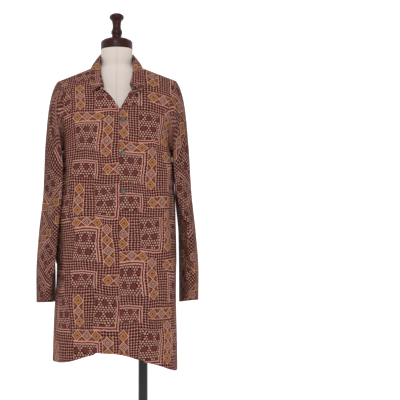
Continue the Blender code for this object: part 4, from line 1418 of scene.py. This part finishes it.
class BLOUSE_OT_form(bpy.types.Operator):
    """Linen dress form with its turned cap and finial"""

    bl_idname = "blouse.form"
    bl_label = "Dress form"

    def execute(self, context):
        graph = Graph(principled("form_linen", roughness=0.9, gloss=0.2))
        coords = graph.place()
        level_slub = graph.grain(coords, (SLUB_LONG, SLUB_LONG, SLUB_FINE))
        plumb_slub = graph.grain(coords, (SLUB_FINE, SLUB_FINE, SLUB_LONG))
        tone = level_slub * 0.5 + plumb_slub * 0.5
        base = sizes().linen
        colour = graph.mix(tone * SLUB_SHARE, tuple(base), shade(base, SLUB_DARK))
        seam = abs(graph.split(coords)[0]) < SEAM_HALF
        colour = graph.mix(seam * SEAM_SHARE, colour, shade(base, SEAM_DARK))
        graph.join(colour, graph.shader.inputs["Base Color"])
        graph.bump(tone - seam * SEAM_DEPTH, LINEN_RELIEF)
        angle = circle(FORM_RING)
        knots = np.array(TORSO)
        share = np.linspace(0, len(knots) - 1, FORM_ROWS * (len(knots) - 1) + 1)
        index = np.arange(len(knots))
        rows = np.stack([spline(np.stack((index, knots[:, c]), -1), 1, share) for c in range(4)], -1)
        half = rows[:, 1, None]
        middle = (rows[:, 2, None] + rows[:, 3, None]) / 2
        deep = (rows[:, 3, None] - rows[:, 2, None]) / 2
        square = TORSO_SQUARE * ramp(TORSO_ROUND_Z, TORSO_SQUARE_Z, rows[:, 0, None])
        x = half * (np.cos(angle) - square * np.cos(3 * angle)) / (1 - square)
        y = middle + deep * (np.sin(angle) + square * np.sin(3 * angle)) / (1 - square)
        z = rows[:, 0, None] * np.ones_like(x)
        torso = loft("form_body", np.stack((x, y, z), axis=-1), graph.material, SHARP_CLOTH)
        dress(torso, "form_torso", "linen")

        graph = Graph(principled("turned_wood", roughness=0.4, gloss=0.18))
        grain = graph.grain(graph.place(), GRAIN_SCALE, detail=4.0)
        base = sizes().wood
        colour = graph.mix(grain, tuple(base), shade(base, GRAIN_DARK))
        graph.surface(colour, grain, least=0.28, spread=0.2)
        graph.bump(grain, FINE_RELIEF)
        graph.shader.inputs["Coat Weight"].default_value = 0.05
        neck = (0, NECK_TOP_Y, TORSO[-1][0])
        for name, profile, node in (("form_cap", CAP, "neck_cap"), ("form_finial", FINIAL, "finial")):
            dress(lathe(name, profile, neck, WOOD_RING, graph.material), node, "wood")
        return {"FINISHED"}


class BLOUSE_OT_stand(bpy.types.Operator):
    """Black stand: flange and knob under the form, pole and round base"""

    bl_idname = "blouse.stand"
    bl_label = "Stand"

    def execute(self, context):
        graph = Graph(principled("black_paint", roughness=0.35, gloss=0.35))
        coords = graph.place()
        fine = graph.noise(coords, scale=900.0)
        wear = graph.noise(coords, scale=30.0, detail=4.0)
        graph.surface(graph.mix(wear * 0.5, *map(srgb, PAINT)), fine, least=0.3, spread=0.15)
        graph.bump(fine, FINE_RELIEF)
        top = TORSO[0][0] - PART_GAP
        flange_z = top - FLANGE_PROFILE[-1][0]
        knob_place = (POLE_X + KNOB_X, POLE_Y + KNOB_Y, top - KNOB_PROFILE[-1][0])
        low = BASE_PROFILE[-1][0] + PART_GAP
        high = flange_z - PART_GAP
        pole = ((low, 0), (low, POLE_RADIUS), (high, POLE_RADIUS), (high, 0))
        for name, profile, place, steps, node in (
            ("stand_flange", FLANGE_PROFILE, (POLE_X, POLE_Y, flange_z), 64, "form_flange"),
            ("stand_pole", pole, (POLE_X, POLE_Y, 0), 96, "pole"),
            ("stand_knob", KNOB_PROFILE, knob_place, 48, "form_knob"),
            ("stand_base", BASE_PROFILE, (0, 0, 0), 160, "base_plate"),
        ):
            dress(lathe(name, profile, place, steps, graph.material), node, "black_metal")
        return {"FINISHED"}


class BLOUSE_OT_stage(bpy.types.Operator):
    """Pale floor and backdrop, soft studio light and the camera"""

    bl_idname = "blouse.stage"
    bl_label = "Studio"

    def execute(self, context):
        scene = context.scene
        scene.view_settings.view_transform = "Standard"
        graph = Graph(principled("backdrop_paper", roughness=0.95, gloss=0.1))
        graph.shader.inputs["Base Color"].default_value = PAPER
        graph.shader.inputs["Emission Strength"].default_value = PAPER_GLOW
        behind = (graph.split(graph.place())[1] / STUDIO_RADIUS + 0.5).least(1.0).most(0.0)
        graph.join(graph.mix(behind, GLOW_IN_FRONT, WHITE), graph.shader.inputs["Emission Color"])
        sweep = np.linspace(0, math.pi / 2, STUDIO_BEND_ROWS)
        bend = STUDIO_RADIUS - STUDIO_BEND * (1 - np.sin(sweep))
        radius = np.concatenate(([STUDIO_MIDDLE], bend, [STUDIO_RADIUS]))
        height = np.concatenate(([0.0], STUDIO_BEND * (1 - np.cos(sweep)), [STUDIO_HEIGHT]))
        grid = turned_rings(height - FLOOR_GAP, radius, STUDIO_RING)
        faces = ring_faces(len(radius), STUDIO_RING)[:, ::-1]
        floor = finish_mesh("studio_sweep", grid.reshape(-1, 3), faces.tolist(), [graph.material])
        floor.data.shade_smooth()

        world = bpy.data.worlds.new("studio")
        scene.world = world
        world.use_nodes = True
        sky = world.node_tree.nodes["Background"]
        sky.inputs["Color"].default_value = WHITE
        sky.inputs["Strength"].default_value = SKY_STRENGTH
        for name, place, size, power in LAMPS:
            light = bpy.data.lights.new(name, "AREA")
            light.shape = "SQUARE"
            light.size = size
            light.energy = power
            lamp = bpy.data.objects.new(name, light)
            scene.collection.objects.link(lamp)
            lamp.location = place
            aim = np.array(LAMP_AIM) - np.array(place)
            lamp.rotation_euler = (math.acos(-aim[2] / np.linalg.norm(aim)), 0,
                                   math.atan2(aim[1], aim[0]) - math.pi / 2)
        camera = bpy.data.objects.new("camera", bpy.data.cameras.new("camera"))
        scene.collection.objects.link(camera)
        camera.location = CAMERA_PLACE
        camera.rotation_euler = (math.pi / 2, 0, 0)
        camera.data.sensor_width = CAMERA_SENSOR
        camera.data.lens = CAMERA_LENS
        camera.data.shift_x = CAMERA_SHIFT
        scene.camera = camera
        return {"FINISHED"}


class BLOUSE_PT_panel(bpy.types.Panel):
    """Lists the pieces in the sidebar"""

    bl_idname = "BLOUSE_PT_panel"
    bl_label = "Blouse"
    bl_space_type = "VIEW_3D"
    bl_region_type = "UI"
    bl_category = "Blouse"

    def draw(self, context):
        for key in BLOUSE_PG_sizes.__annotations__:
            self.layout.prop(context.scene.blouse_sizes, key)
        for operator in OPERATORS:
            self.layout.operator(operator.bl_idname)


OPERATORS = (
    BLOUSE_OT_form, BLOUSE_OT_stand, BLOUSE_OT_fronts, BLOUSE_OT_back, BLOUSE_OT_sleeves,
    BLOUSE_OT_collar, BLOUSE_OT_buttons, BLOUSE_OT_stage,
)


def register():
    """Adds the classes and the sizes to Blender."""
    for cls in (BLOUSE_PG_sizes, *OPERATORS, BLOUSE_PT_panel):
        bpy.utils.register_class(cls)
    bpy.types.Scene.blouse_sizes = bpy.props.PointerProperty(type=BLOUSE_PG_sizes)


def unregister():
    """Removes what register added."""
    del bpy.types.Scene.blouse_sizes
    for cls in (BLOUSE_PT_panel, *reversed(OPERATORS), BLOUSE_PG_sizes):
        bpy.utils.unregister_class(cls)


def main():
    """Builds every piece in order."""
    register()
    for operator in OPERATORS:
        getattr(bpy.ops.blouse, operator.bl_idname.split(".")[1])()


if __name__ == "__main__":
    main()
